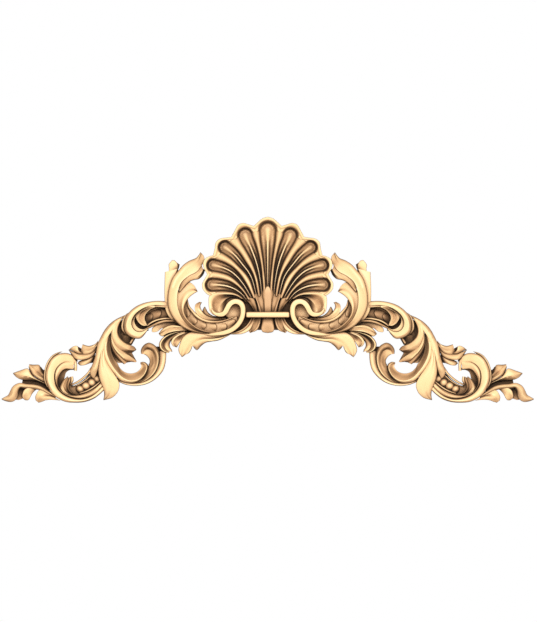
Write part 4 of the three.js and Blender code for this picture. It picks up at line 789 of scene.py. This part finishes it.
# Leaf cluster
# A cluster of curling leaves fills the angle between the great leaf and the last scroll.
# Its lobes lap over each other downwards, with deep gouge cuts between them.
leaf([
    rail([20, 24, 22.5, 20.5, 16], 339, -62, 345, -68.5, 351, -71.3, 358, -72.8, 364, -71.5, 370, -69.5),
    rail([22, 25, 26, 24, 18], 339, -66, 345, -72.5, 352, -76.3, 359.5, -78, 366, -77, 371.5, -73.5),
    rail([24, 28, 30, 28, 20], 339, -69, 346, -76.5, 353, -81, 361, -83.5, 368, -83.5, 373.5, -82),
    rail([21, 24, 26, 24, 18], 339, -73, 346, -82.5, 354, -87.5, 362, -90, 369, -90.7, 376, -89),
], [1, 0, 0])
leaf([
    rail([20, 26, 27, 24, 14], 368, -85, 374, -84.5, 378.5, -80, 380.5, -73.5, 385, -72.6, 391, -75,
        398.5, -81),
    rail([22, 28, 28, 24, 14], 368, -87, 376, -85.5, 382, -81.5, 387, -78.5, 392, -78.5, 398.5, -81.2),
    rail([20, 24, 24, 21, 13], 368, -90, 378, -89, 384, -86, 389, -83.5, 393, -82.3, 398.5, -81.4),
])
leaf([
    rail([20, 22.5, 24, 22, 13], 340, -72, 347, -80.5, 355, -86, 364, -88.8, 373, -89, 381, -87.3,
        388, -84, 398, -81.6),
    rail([22, 26, 28, 26, 14], 340, -75.5, 347.5, -85, 356, -91, 365, -94, 374, -95, 382, -93, 389, -88.5,
        397, -83),
    rail([19, 23, 25, 23, 13], 340, -81, 347, -91, 355, -96.5, 364, -99.5, 373, -101, 381, -100.3,
        386.5, -97, 391.5, -91.5, 396, -85),
])
leaf([
    rail([15, 17.5, 17.5, 11], 343, -82, 351, -91, 360, -97, 370, -100, 378, -103.8),
    rail([16, 20, 20, 12], 345, -89, 352, -98, 361, -103.5, 370, -106, 379, -105.5),
    rail([13, 17, 17, 10.5], 346, -96, 352, -105, 361, -109.6, 369, -111.8, 375.5, -111.8, 380.5, -107.5),
])

# Third scroll
# The last scroll turns back on itself round a small leaf. Its bead channel comes from the great leaf.
# Its band has a gouged groove along the middle and a thin rim outside.
# Band of the scroll with a groove along its middle
leaf([
    rail([15, 23, 28, 30, 29.5, 28, 25.5, 22], 384, -101, 390, -92, 398, -88, 408, -87, 420, -89.5,
        431, -97, 439, -109, 444, -124, 444, -140, 439.5, -154, 431.5, -168, 419.5, -178, 404, -184.8,
        385, -186.5, 366, -185, 348, -178.5, 334, -168, 326, -160),
    rail([16, 26, 32, 34, 33, 32, 30.5, 24], 385, -102, 392, -94.5, 401, -92, 411, -93, 421, -98,
        430, -107, 436, -119, 438, -132, 436, -147, 430, -158, 420, -169, 408, -176.5, 393, -181,
        375, -182, 357, -178, 341, -169.5, 328, -157),
    rail([16, 25, 30.5, 31, 30.5, 30, 29, 24], 386, -105, 395, -104, 405, -104, 415, -108.5, 423, -117,
        427, -127.5, 427.5, -139, 425, -150, 419.5, -160, 411, -168.5, 400, -175, 386, -179, 370, -179.5,
        355, -175, 342, -167, 329, -154.5),
    rail([16, 23, 27.5, 28, 27.5, 27, 27, 23], 386.2, -106.3, 395, -105.3, 404.6, -105.3, 414.2, -109.5,
        421.9, -117.7, 425.7, -127.8, 426.2, -139, 423.8, -149.5, 418.5, -159.2, 410.2, -167.3,
        399.5, -173.7, 385.8, -177.7, 370.2, -178.2, 355.6, -173.8, 342.9, -166, 329.9, -153.5),
    rail([16, 25.5, 31.5, 33.5, 32, 31.5, 31, 24], 388, -111, 397, -111.5, 406, -111.5, 414, -116,
        420.5, -126, 423, -137, 422, -149, 417.5, -159, 409, -167, 398, -172.5, 384, -175.5, 370, -175,
        357, -170, 345, -162, 331, -149),
    rail([14, 23, 28, 30, 27.5, 28, 27.5, 22], 388.5, -119.5, 396, -119, 403, -118.5, 410, -121.5,
        416.5, -130, 420, -140, 419.5, -152, 415, -160, 406.5, -166.5, 396, -170.5, 383, -171.5,
        369, -169.5, 356, -164.5, 345, -157, 332, -145),
], [1, 0, 0, 1])
# Thin outer rim
leaf([
    rail([12, 22, 24, 22, 16], 411, -83.8, 418, -85.2, 426, -88.3, 433.5, -94, 440.5, -103.5, 445.3, -115,
        447.5, -128, 447.5, -140, 444.3, -150, 437.5, -160.5, 428, -169.5),
    rail([11, 20, 22, 20, 15], 411, -84.2, 417, -88, 424, -92.5, 430, -98, 436, -107, 440.3, -118,
        442, -129, 442, -140, 438, -150, 431, -159, 424, -167),
], [2])
# Inner leaf with its grooves
leaf([
    rail([15, 23, 23.5, 25], 400, -133.5, 409, -141, 414.5, -150, 418, -158.5, 413.5, -167, 404.5, -174,
        392, -178),
    rail([16, 26, 28.5, 28], 399.5, -134, 407, -142, 411, -150.5, 413, -157.5, 410, -164, 402, -170.5,
        390, -175),
    rail([15, 24, 26.5, 27], 399, -136, 404.5, -143, 407.5, -149.5, 408.5, -155, 405.5, -161.5,
        399.5, -167.5, 388, -173.5),
    rail([16, 26, 29, 28], 398, -136, 402, -142.5, 405, -149, 405.8, -154.5, 403.3, -161.5, 397.5, -167.5,
        386, -172.5),
    rail([15, 23, 25, 26], 397, -136, 400, -143, 402, -149, 402.3, -154.5, 400.3, -161.5, 395, -167.3,
        384, -171.5),
    rail([16, 26.5, 30.5, 29], 395.5, -134.5, 397.5, -142, 399.2, -149, 399.4, -155, 397.5, -161.5,
        392.5, -166.7, 382, -170.8),
    rail([14, 23, 25.5, 25], 393.5, -134.5, 394.3, -142, 396.8, -149, 397.2, -155, 395, -161, 390, -166,
        380, -170),
])
# Small folds behind the leaf and behind the start of the band
ribbon(rail([12, 14, 12], 392, -134, 391.3, -141, 395, -150), [5, 6, 5], 1)
ribbon(rail([14, 17, 14], 385.5, -99, 384.2, -111, 384.5, -122.5), [5, 6, 6], 1.5)
# Bead channel between its two double rails
leaf([
    rail([channel_floor + 0.5], 340, -128, 354, -127, 365, -138, 377, -147, 389, -152, 400, -146),
    rail([channel_floor + 0.5], 324, -141, 340, -154, 354, -164, 366, -171, 380, -173, 398, -167),
])
leaf([
    rail([15, 22, 22, 15], 349, -109.5, 355, -117, 361.5, -126.5, 371.5, -136, 382, -143.5, 393, -149),
    rail([16, 24, 24, 16], 346, -111, 352.5, -119.5, 359, -129, 369.3, -138.6, 380.2, -146.3,
        393, -151.5),
    rail([14, 21, 21, 14], 344.6, -111.6, 351.2, -120.4, 358.2, -130, 368.6, -139.6, 380, -147.5,
        393, -152.3),
])
ribbon(rail([14, 16, 16, 12], 347, -122, 357, -134, 368, -143.2, 380, -150.5, 392, -155), [3, 3, 3, 2], 1)
ribbon(
    rail([18, 20, 20, 16], 330, -140, 342, -150.8, 352, -158, 363, -163.8, 376, -168),
    [3, 3.5, 3.5, 3],
    1,
)
leaf([
    rail([20, 23, 23, 18], 328, -141, 339.5, -152, 350.5, -160, 362.5, -166.3, 374, -170),
    rail([20, 24, 24, 18], 326, -143, 338, -154.5, 349, -163, 361.5, -169.5, 374, -173),
], [1])
bead(340, -138, 17, 20)
bead(351.5, -146, 18, 20)
bead(363.5, -152.8, 18, 20)
bead(375.5, -159.3, 17, 19)

# End of the arm
# The arm runs out in five pointed leaves that spread like a hand from the last scroll.
# Each thins towards its tip, where the wood is only about 10 mm thick.
# Upper leaf with a gouge cut
leaf([
    rail([14, 16.5, 16.5, 18, 13], 443, -131, 448.5, -127, 452.5, -120, 456, -112, 459, -110.3,
        468, -110.3, 477, -109.4),
    rail([15, 21, 23, 22, 14], 443, -134, 450.5, -129, 456.5, -122, 462, -116.5, 469, -113, 477.3, -111),
    rail([15, 18.5, 18.5, 20, 14], 443, -137, 451, -132.5, 458.5, -126.5, 466, -120.5, 472, -115.5,
        477.3, -112.5),
    rail([16, 22, 24, 22, 14], 443, -141, 452, -136.5, 461.5, -131, 469.5, -124, 474.5, -117,
        478, -113.5),
    rail([14, 19, 20, 19, 13], 443, -148, 453, -142.5, 464, -136.5, 472, -130, 476.5, -122, 478, -115),
], [0, 0, 0, 0])
# Middle leaf
leaf([
    rail([15, 21, 23, 21, 13], 441, -148, 455, -141.3, 464, -136.8, 471, -131, 475.5, -124.5, 478.5, -119,
        482, -117.8, 494, -121.5, 509.5, -127),
    rail([16, 24, 26, 24, 14], 441, -150, 456, -143.2, 468, -138, 480, -133.5, 491, -132, 501, -130,
        509.5, -127.6),
    rail([14, 16.5, 15.5, 16.5, 12], 441, -153, 457, -145, 472, -142.3, 486, -141.3, 496, -139.3,
        503.5, -134.8, 509.5, -128.2),
], [1, -1])
# Last leaf, running out to the tip
leaf([
    rail([19, 21, 23, 24, 22, 11], 424, -170, 436, -163, 446, -156.8, 456, -152.3, 468, -149.8,
        483, -148.6, 496, -146.8, 504, -149.3, 510.8, -154.8, 515.5, -163.5, 519.5, -171, 525, -174.3,
        532, -178.3),
    rail([20, 24, 26, 28, 26, 12], 424, -173, 437, -166, 448, -160, 459, -156, 472, -154.3, 486, -154,
        498, -154, 505.5, -159, 510, -167.5, 515, -175.5, 522, -179, 532, -179.2),
    rail([19, 20.5, 18.5, 17.5, 15.5, 10], 424, -176, 439, -168.5, 451, -163, 463, -160, 475, -159.5,
        488, -158.8, 495.5, -158, 498.3, -164, 500, -173, 504, -180.5, 512, -184.8, 523, -183.8,
        532, -180.2),
])
leaf([
    rail([20, 22, 20, 10], 468, -152, 481, -156, 488, -161.5, 491, -170, 490.8, -176.5, 486, -181),
    rail([19, 21, 20, 10], 464, -154, 475, -160, 482, -167, 485.5, -175, 485, -181.3),
    rail([12.5, 14.5, 16, 9.5], 457, -157, 465, -162, 471, -168.5, 475, -176, 479, -181.3, 484, -181.8),
], [1, 0])
leaf([
    rail([18, 20, 21, 19, 10], 424, -170, 438, -164.5, 449, -161.5, 457.6, -161.6, 461.5, -167, 465, -175,
        464, -182),
    rail([17, 17.5, 18.5, 18, 10], 424, -174, 438, -170.7, 448, -169.8, 455, -172, 459.5, -177,
        461.5, -184),
    rail([18, 20, 22, 20, 10], 424, -177, 437, -174.3, 446, -174.5, 453, -177, 458, -181, 460, -185),
    rail([16, 17, 18, 17, 9.5], 414, -182.5, 424, -181, 436, -180.5, 445, -182, 452, -184.8,
        458.5, -186.5),
])

# Low ground
# Between the scrolls the wood isn't cut right through: low ground ties the whole carving together.
# It lies only a few millimetres thick, so that it reads as black slots from the front.
def plate(relief, edge, other):
    """A flat piece of low ground between two edges."""
    leaf([rail([relief], *edge), rail([relief], *other)], fall=0)


plate(6, [0, 12, 28, 27, 62, 26], [0, -39, 14, -41, 26, -41, 38, -41.5, 50, -43.5, 60, -45.5, 76, -48])
plate(6, [74, -10, 96, -13, 112, -12, 126, -4, 134, -2], [70, -22, 96, -22, 118, -20, 136, -12])
plate(6, [242, -28, 254, -22, 264, -12], [238, -42, 256, -46, 272, -28])
plate(14, [178, -24, 200, -22, 226, -28], [178, -34, 204, -38, 224, -36])
plate(
    12,
    [149, -42, 160, -40, 178, -40, 196, -42, 212, -47],
    [147, -48, 158, -52, 172, -59, 188, -62, 204, -62],
)
plate(6, [211, -76, 218, -74, 223, -74], [208, -90, 218, -92, 226, -80])
plate(8, [338, -84, 348, -94, 364, -100], [340, -100, 348, -106, 362, -108])
plate(
    5,
    [386, -117, 398, -114, 412, -116, 424, -134, 422, -156],
    [386, -120.8, 396, -121.3, 403, -125.8, 407, -139, 414, -158],
)
plate(6, [382, -92, 391, -90, 398, -89], [380, -104, 386, -104, 396, -96])
plate(5, [436, -160, 448, -147, 466, -138, 490, -138], [436, -166, 450, -158, 470, -151, 492, -150])
plate(6, [484, -152, 497, -154, 504, -164, 506, -180], [482, -158, 486, -166, 489, -177, 498, -181])
plate(12, [289, -107, 299, -99, 306, -80, 310, -56], [300, -107, 310, -98, 318, -80, 322, -56])
plate(6, [238, -108, 240, -122, 252, -138, 270, -146], [234, -112, 236, -126, 248, -142, 268, -149])
plate(5, [370, -80, 376, -76, 380, -74], [372, -90, 378, -90, 384, -86])
plate(5, [444, -122, 449, -120, 454, -114], [442, -140, 452, -138, 460, -130])
plate(6, [176, 90, 178, 82, 182, 74], [182, 94, 186, 84, 190, 72])
plate(6, [332, -116, 344, -122], [334, -132, 348, -134])

# Headpiece in one piece
# All the forms are one block of wood, so they are mirrored and joined into a single closed surface.
# Edges sharper than the smoothing angle stay crisp, as a carver's tool leaves them.
triangle_share = 0.56
merge_distance = 0.001
smoothing_angle = 38
forms = []
for shape in right_half:
    other = add_object(shape.data.copy())
    other.data.transform(Matrix.Diagonal((-1, 1, 1, 1)))
    other.data.flip_normals()
    forms += [shape, other]
forms.append(bar)
piece = forms[0]
others = bpy.data.collections.new("forms")
for shape in forms[1:]:
    others.objects.link(shape)
union = piece.modifiers.new("union", "BOOLEAN")
union.operation = "UNION"
union.solver = "MANIFOLD"
union.operand_type = "COLLECTION"
union.collection = others
bpy.ops.object.select_all(action="DESELECT")
piece.select_set(True)
bpy.context.view_layer.objects.active = piece
bpy.ops.object.modifier_apply(modifier="union")
for shape in forms[1:]:
    bpy.data.objects.remove(shape)
bpy.data.collections.remove(others)
# Plain stretches are thinned out to few triangles, and the carving keeps the rest
thinned = piece.modifiers.new("thinned", "DECIMATE")
thinned.ratio = triangle_share
bpy.ops.object.modifier_apply(modifier="thinned")
bpy.ops.object.mode_set(mode="EDIT")
bpy.ops.mesh.select_all(action="SELECT")
bpy.ops.mesh.remove_doubles(threshold=merge_distance / 1000)
bpy.ops.mesh.normals_make_consistent(inside=False)
bpy.ops.object.mode_set(mode="OBJECT")
piece.name = "carved_headpiece_wood"
piece.data.name = "carved_headpiece_wood"
bpy.ops.object.shade_smooth_by_angle(angle=math.radians(smoothing_angle))
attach(piece, "root")
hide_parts("carved_headpiece")

# Finish of the wood, with painted light and shade
# Pale lime wood with a thin coat of satin wax, which gives broad soft highlights on the flat faces, where
# the colour is also painted palest as painted light.
# Its grain runs along the panel, faint and fine, with a slight change of tone over a hand's width.
def linear(colour):
    """A hex sRGB colour as linear values for a shader."""
    values = [int(colour[i:i + 2], 16) / 255 for i in (1, 3, 5)]
    return (*(v / 12.92 if v <= 0.04045 else ((v + 0.055) / 1.055) ** 2.4 for v in values), 1.0)


wood = bpy.data.materials.new("satin_lime_wood")
wood.use_nodes = True
tree = wood.node_tree
shader = tree.nodes["Principled BSDF"]


def node(kind, settings=None, links=None):
    """A node with its settings, and links to its inputs from other nodes' sockets."""
    made = tree.nodes.new(kind)
    for key, value in (settings or {}).items():
        if isinstance(key, str) and hasattr(made, key):
            setattr(made, key, value)
        else:
            made.inputs[key].default_value = value
    for key, socket in (links or {}).items():
        tree.links.new(socket, made.inputs[key])
    return made


def set_ramp(ramp, stops):
    """Fill a colour ramp with its stops, each a place and a colour."""
    while len(ramp.elements) < len(stops):
        ramp.elements.new(1.0)
    for element, (place_on_ramp, colour) in zip(ramp.elements, stops):
        element.position = place_on_ramp
        element.color = colour


def product(a, b):
    """The product of two sockets."""
    return node("ShaderNodeMath", {"operation": "MULTIPLY"}, {0: a, 1: b}).outputs[0]


def ramp_between(socket, low, high, top=1.0):
    """A value that rises from 0 to its top while a socket's value goes from low to high."""
    return node("ShaderNodeMapRange", {"From Min": low, "From Max": high, "To Max": top},
                {"Value": socket}).outputs[0]


grain_scale = 26.0
tone_scale = 7.0
recess_reach = 18 / 1000
place = node("ShaderNodeTexCoord")
stretch = node("ShaderNodeMapping", {"Scale": (1, 6, 9)}, {"Vector": place.outputs["Object"]})
grain = node("ShaderNodeTexNoise", {"Scale": grain_scale, "Detail": 6.0, "Roughness": 0.62},
             {"Vector": stretch.outputs[0]})
tone = node("ShaderNodeTexNoise", {"Scale": tone_scale, "Detail": 2.0}, {"Vector": place.outputs["Object"]})
mixed = node("ShaderNodeMath", {"operation": "MULTIPLY_ADD", 1: 0.35},
             {0: tone.outputs["Fac"], 2: grain.outputs["Fac"]})
# Painted shade: the colour darkens in recesses, read from an ambient occlusion node, and on slopes that
# turn away from the front light, so the faces in front stay palest. The outer walls get a middle tone, and
# the back, which is bare sawn wood, stays fairly pale.
open_sky = node("ShaderNodeAmbientOcclusion", {"samples": 8, "Distance": recess_reach})
# Painted shade in recesses: 1 in the open, falling towards 0 deep in the hollows
recess_shade_mask = ramp_between(open_sky.outputs["AO"], 0.3, 0.88)
side = node("ShaderNodeSeparateXYZ", None, {0: place.outputs["Normal"]}).outputs["Y"]
# Painted shade by slope: palest on faces turned to the front, darkest on steep slopes, a middle tone on the
# walls
slope_painted_shade = node("ShaderNodeValToRGB", None, {"Fac": ramp_between(side, -1.0, 1.0)})
set_ramp(slope_painted_shade.color_ramp, [
    (0.005, (1, 1, 1, 1)),
    (0.37, (0.02, 0.02, 0.02, 1)),
    (0.46, (0.5, 0.5, 0.5, 1)),
    (0.9, (0.78, 0.78, 0.78, 1)),
])
# More painted shade lies on the lowest ground, and round the bud between the volutes on faces lower than
# the bar, where they turn to the front
low_ground_painted_shade = 0.45
bud_painted_shade = 0.36
bud_centre = (0, -24 / 1000, 0)
depth = node("ShaderNodeSeparateXYZ", None, {0: place.outputs["Object"]}).outputs["Y"]
faces_front = ramp_between(side, -0.2, -0.4)
# Painted shade on the lowest ground, only a few millimetres above the back
low = ramp_between(depth, -12 / 1000, -7 / 1000, low_ground_painted_shade)
from_bud = node("ShaderNodeVectorMath", {"operation": "DISTANCE", 1: bud_centre},
                {0: place.outputs["Object"]})
near_bud = ramp_between(from_bud.outputs["Value"], 62 / 1000, 30 / 1000, bud_painted_shade)
under_bar = ramp_between(depth, -37 / 1000, -33 / 1000)
# Painted shade on the deepest ground and round the bud, taken off the painted light below
deep_painted_shade = node("ShaderNodeMath", {"operation": "ADD"}, {
    0: product(low, faces_front),
    1: product(product(near_bud, under_bar), faces_front),
})
clear_of_deep_shade = node("ShaderNodeMath", {"operation": "SUBTRACT", 0: 1.0}, {1: deep_painted_shade.outputs[0]})
# Share of painted light: highest on open faces that face the front, lower where painted shade lies
painted_light_share = product(product(recess_shade_mask, slope_painted_shade.outputs["Color"]), clear_of_deep_shade.outputs[0])
grain_and_painted_light = node("ShaderNodeMath", {"operation": "MULTIPLY_ADD", 1: 0.06}, {0: mixed.outputs[0], 2: painted_light_share})
# Painted light and shade as colour, with the grain: dark brown where painted shade is deepest, pale yellow
# on open front faces
colours = node("ShaderNodeValToRGB", None, {"Fac": grain_and_painted_light.outputs[0]})
set_ramp(colours.color_ramp, [
    (0.02, linear("#22160D")),
    (0.14, linear("#513922")),
    (0.45, linear("#A27B55")),
    (0.75, linear("#D3A779")),
    (1.0, linear("#E6C892")),
])
tree.links.new(colours.outputs["Color"], shader.inputs["Base Color"])
dull = node("ShaderNodeMapRange", {"To Min": 0.95, "To Max": 0.42}, {"Value": painted_light_share})
tree.links.new(dull.outputs[0], shader.inputs["Roughness"])
bump = node("ShaderNodeBump", {"Strength": 0.05, "Distance": 0.6 / 1000}, {"Height": grain.outputs["Fac"]})
tree.links.new(bump.outputs["Normal"], shader.inputs["Normal"])
shader.inputs["Specular IOR Level"].default_value = 0.3
piece.data.materials.clear()
piece.data.materials.append(wood)

# Floor, light and camera
# A plain pale floor lies well below the hanging piece and doesn't show from the front.
# A broad soft light shines from in front and a little above, and a weaker one from behind.
floor_width = 8
floor_height = -0.75
bpy.ops.mesh.primitive_plane_add(size=floor_width, location=(0, 0, floor_height))
floor = bpy.context.object
floor.name = "floor"
pale = bpy.data.materials.new("pale_floor")
pale.use_nodes = True
pale.node_tree.nodes["Principled BSDF"].inputs["Base Color"].default_value = linear("#FAFAFA")
pale.node_tree.nodes["Principled BSDF"].inputs["Roughness"].default_value = 0.9
floor.data.materials.append(pale)


def add_sun(name, strength, spread, toward):
    """A distant light, as wide across as its spread in degrees, that shines from the given direction."""
    light = bpy.data.lights.new(name, "SUN")
    light.energy = strength
    light.angle = math.radians(spread)
    shape = bpy.data.objects.new(name, light)
    bpy.context.collection.objects.link(shape)
    shape.rotation_euler = Vector(toward).to_track_quat("Z", "Y").to_euler()


add_sun("front_light", 4.05, 30, (0.05, -1, 0.25))
add_sun("back_light", 1.2, 60, (-0.3, 1, 0.5))
world = bpy.data.worlds.new("studio")
world.use_nodes = True
bpy.context.scene.world = world
tree = world.node_tree
for old in list(tree.nodes):
    tree.nodes.remove(old)
dim = node("ShaderNodeBackground", {"Color": (1, 1, 1, 1), "Strength": 0.12})
white = node("ShaderNodeBackground", {"Color": (1, 1, 1, 1), "Strength": 1.0})
ray = node("ShaderNodeLightPath")
both = node("ShaderNodeMixShader", None,
            {0: ray.outputs["Is Camera Ray"], 1: dim.outputs[0], 2: white.outputs[0]})
node("ShaderNodeOutputWorld", None, {"Surface": both.outputs[0]})

view_width = 1.244
camera = bpy.data.objects.new("camera", bpy.data.cameras.new("camera"))
bpy.context.collection.objects.link(camera)
camera.data.type = "ORTHO"
camera.data.ortho_scale = view_width
camera.location = (0.0015, -3.0, -0.003)
camera.rotation_euler = (math.radians(90), 0, 0)
bpy.context.scene.camera = camera
bpy.context.scene.view_settings.view_transform = "Standard"
bpy.context.scene.view_settings.look = "None"
bpy.context.scene.view_settings.exposure = 0
bpy.context.scene.view_settings.gamma = 1
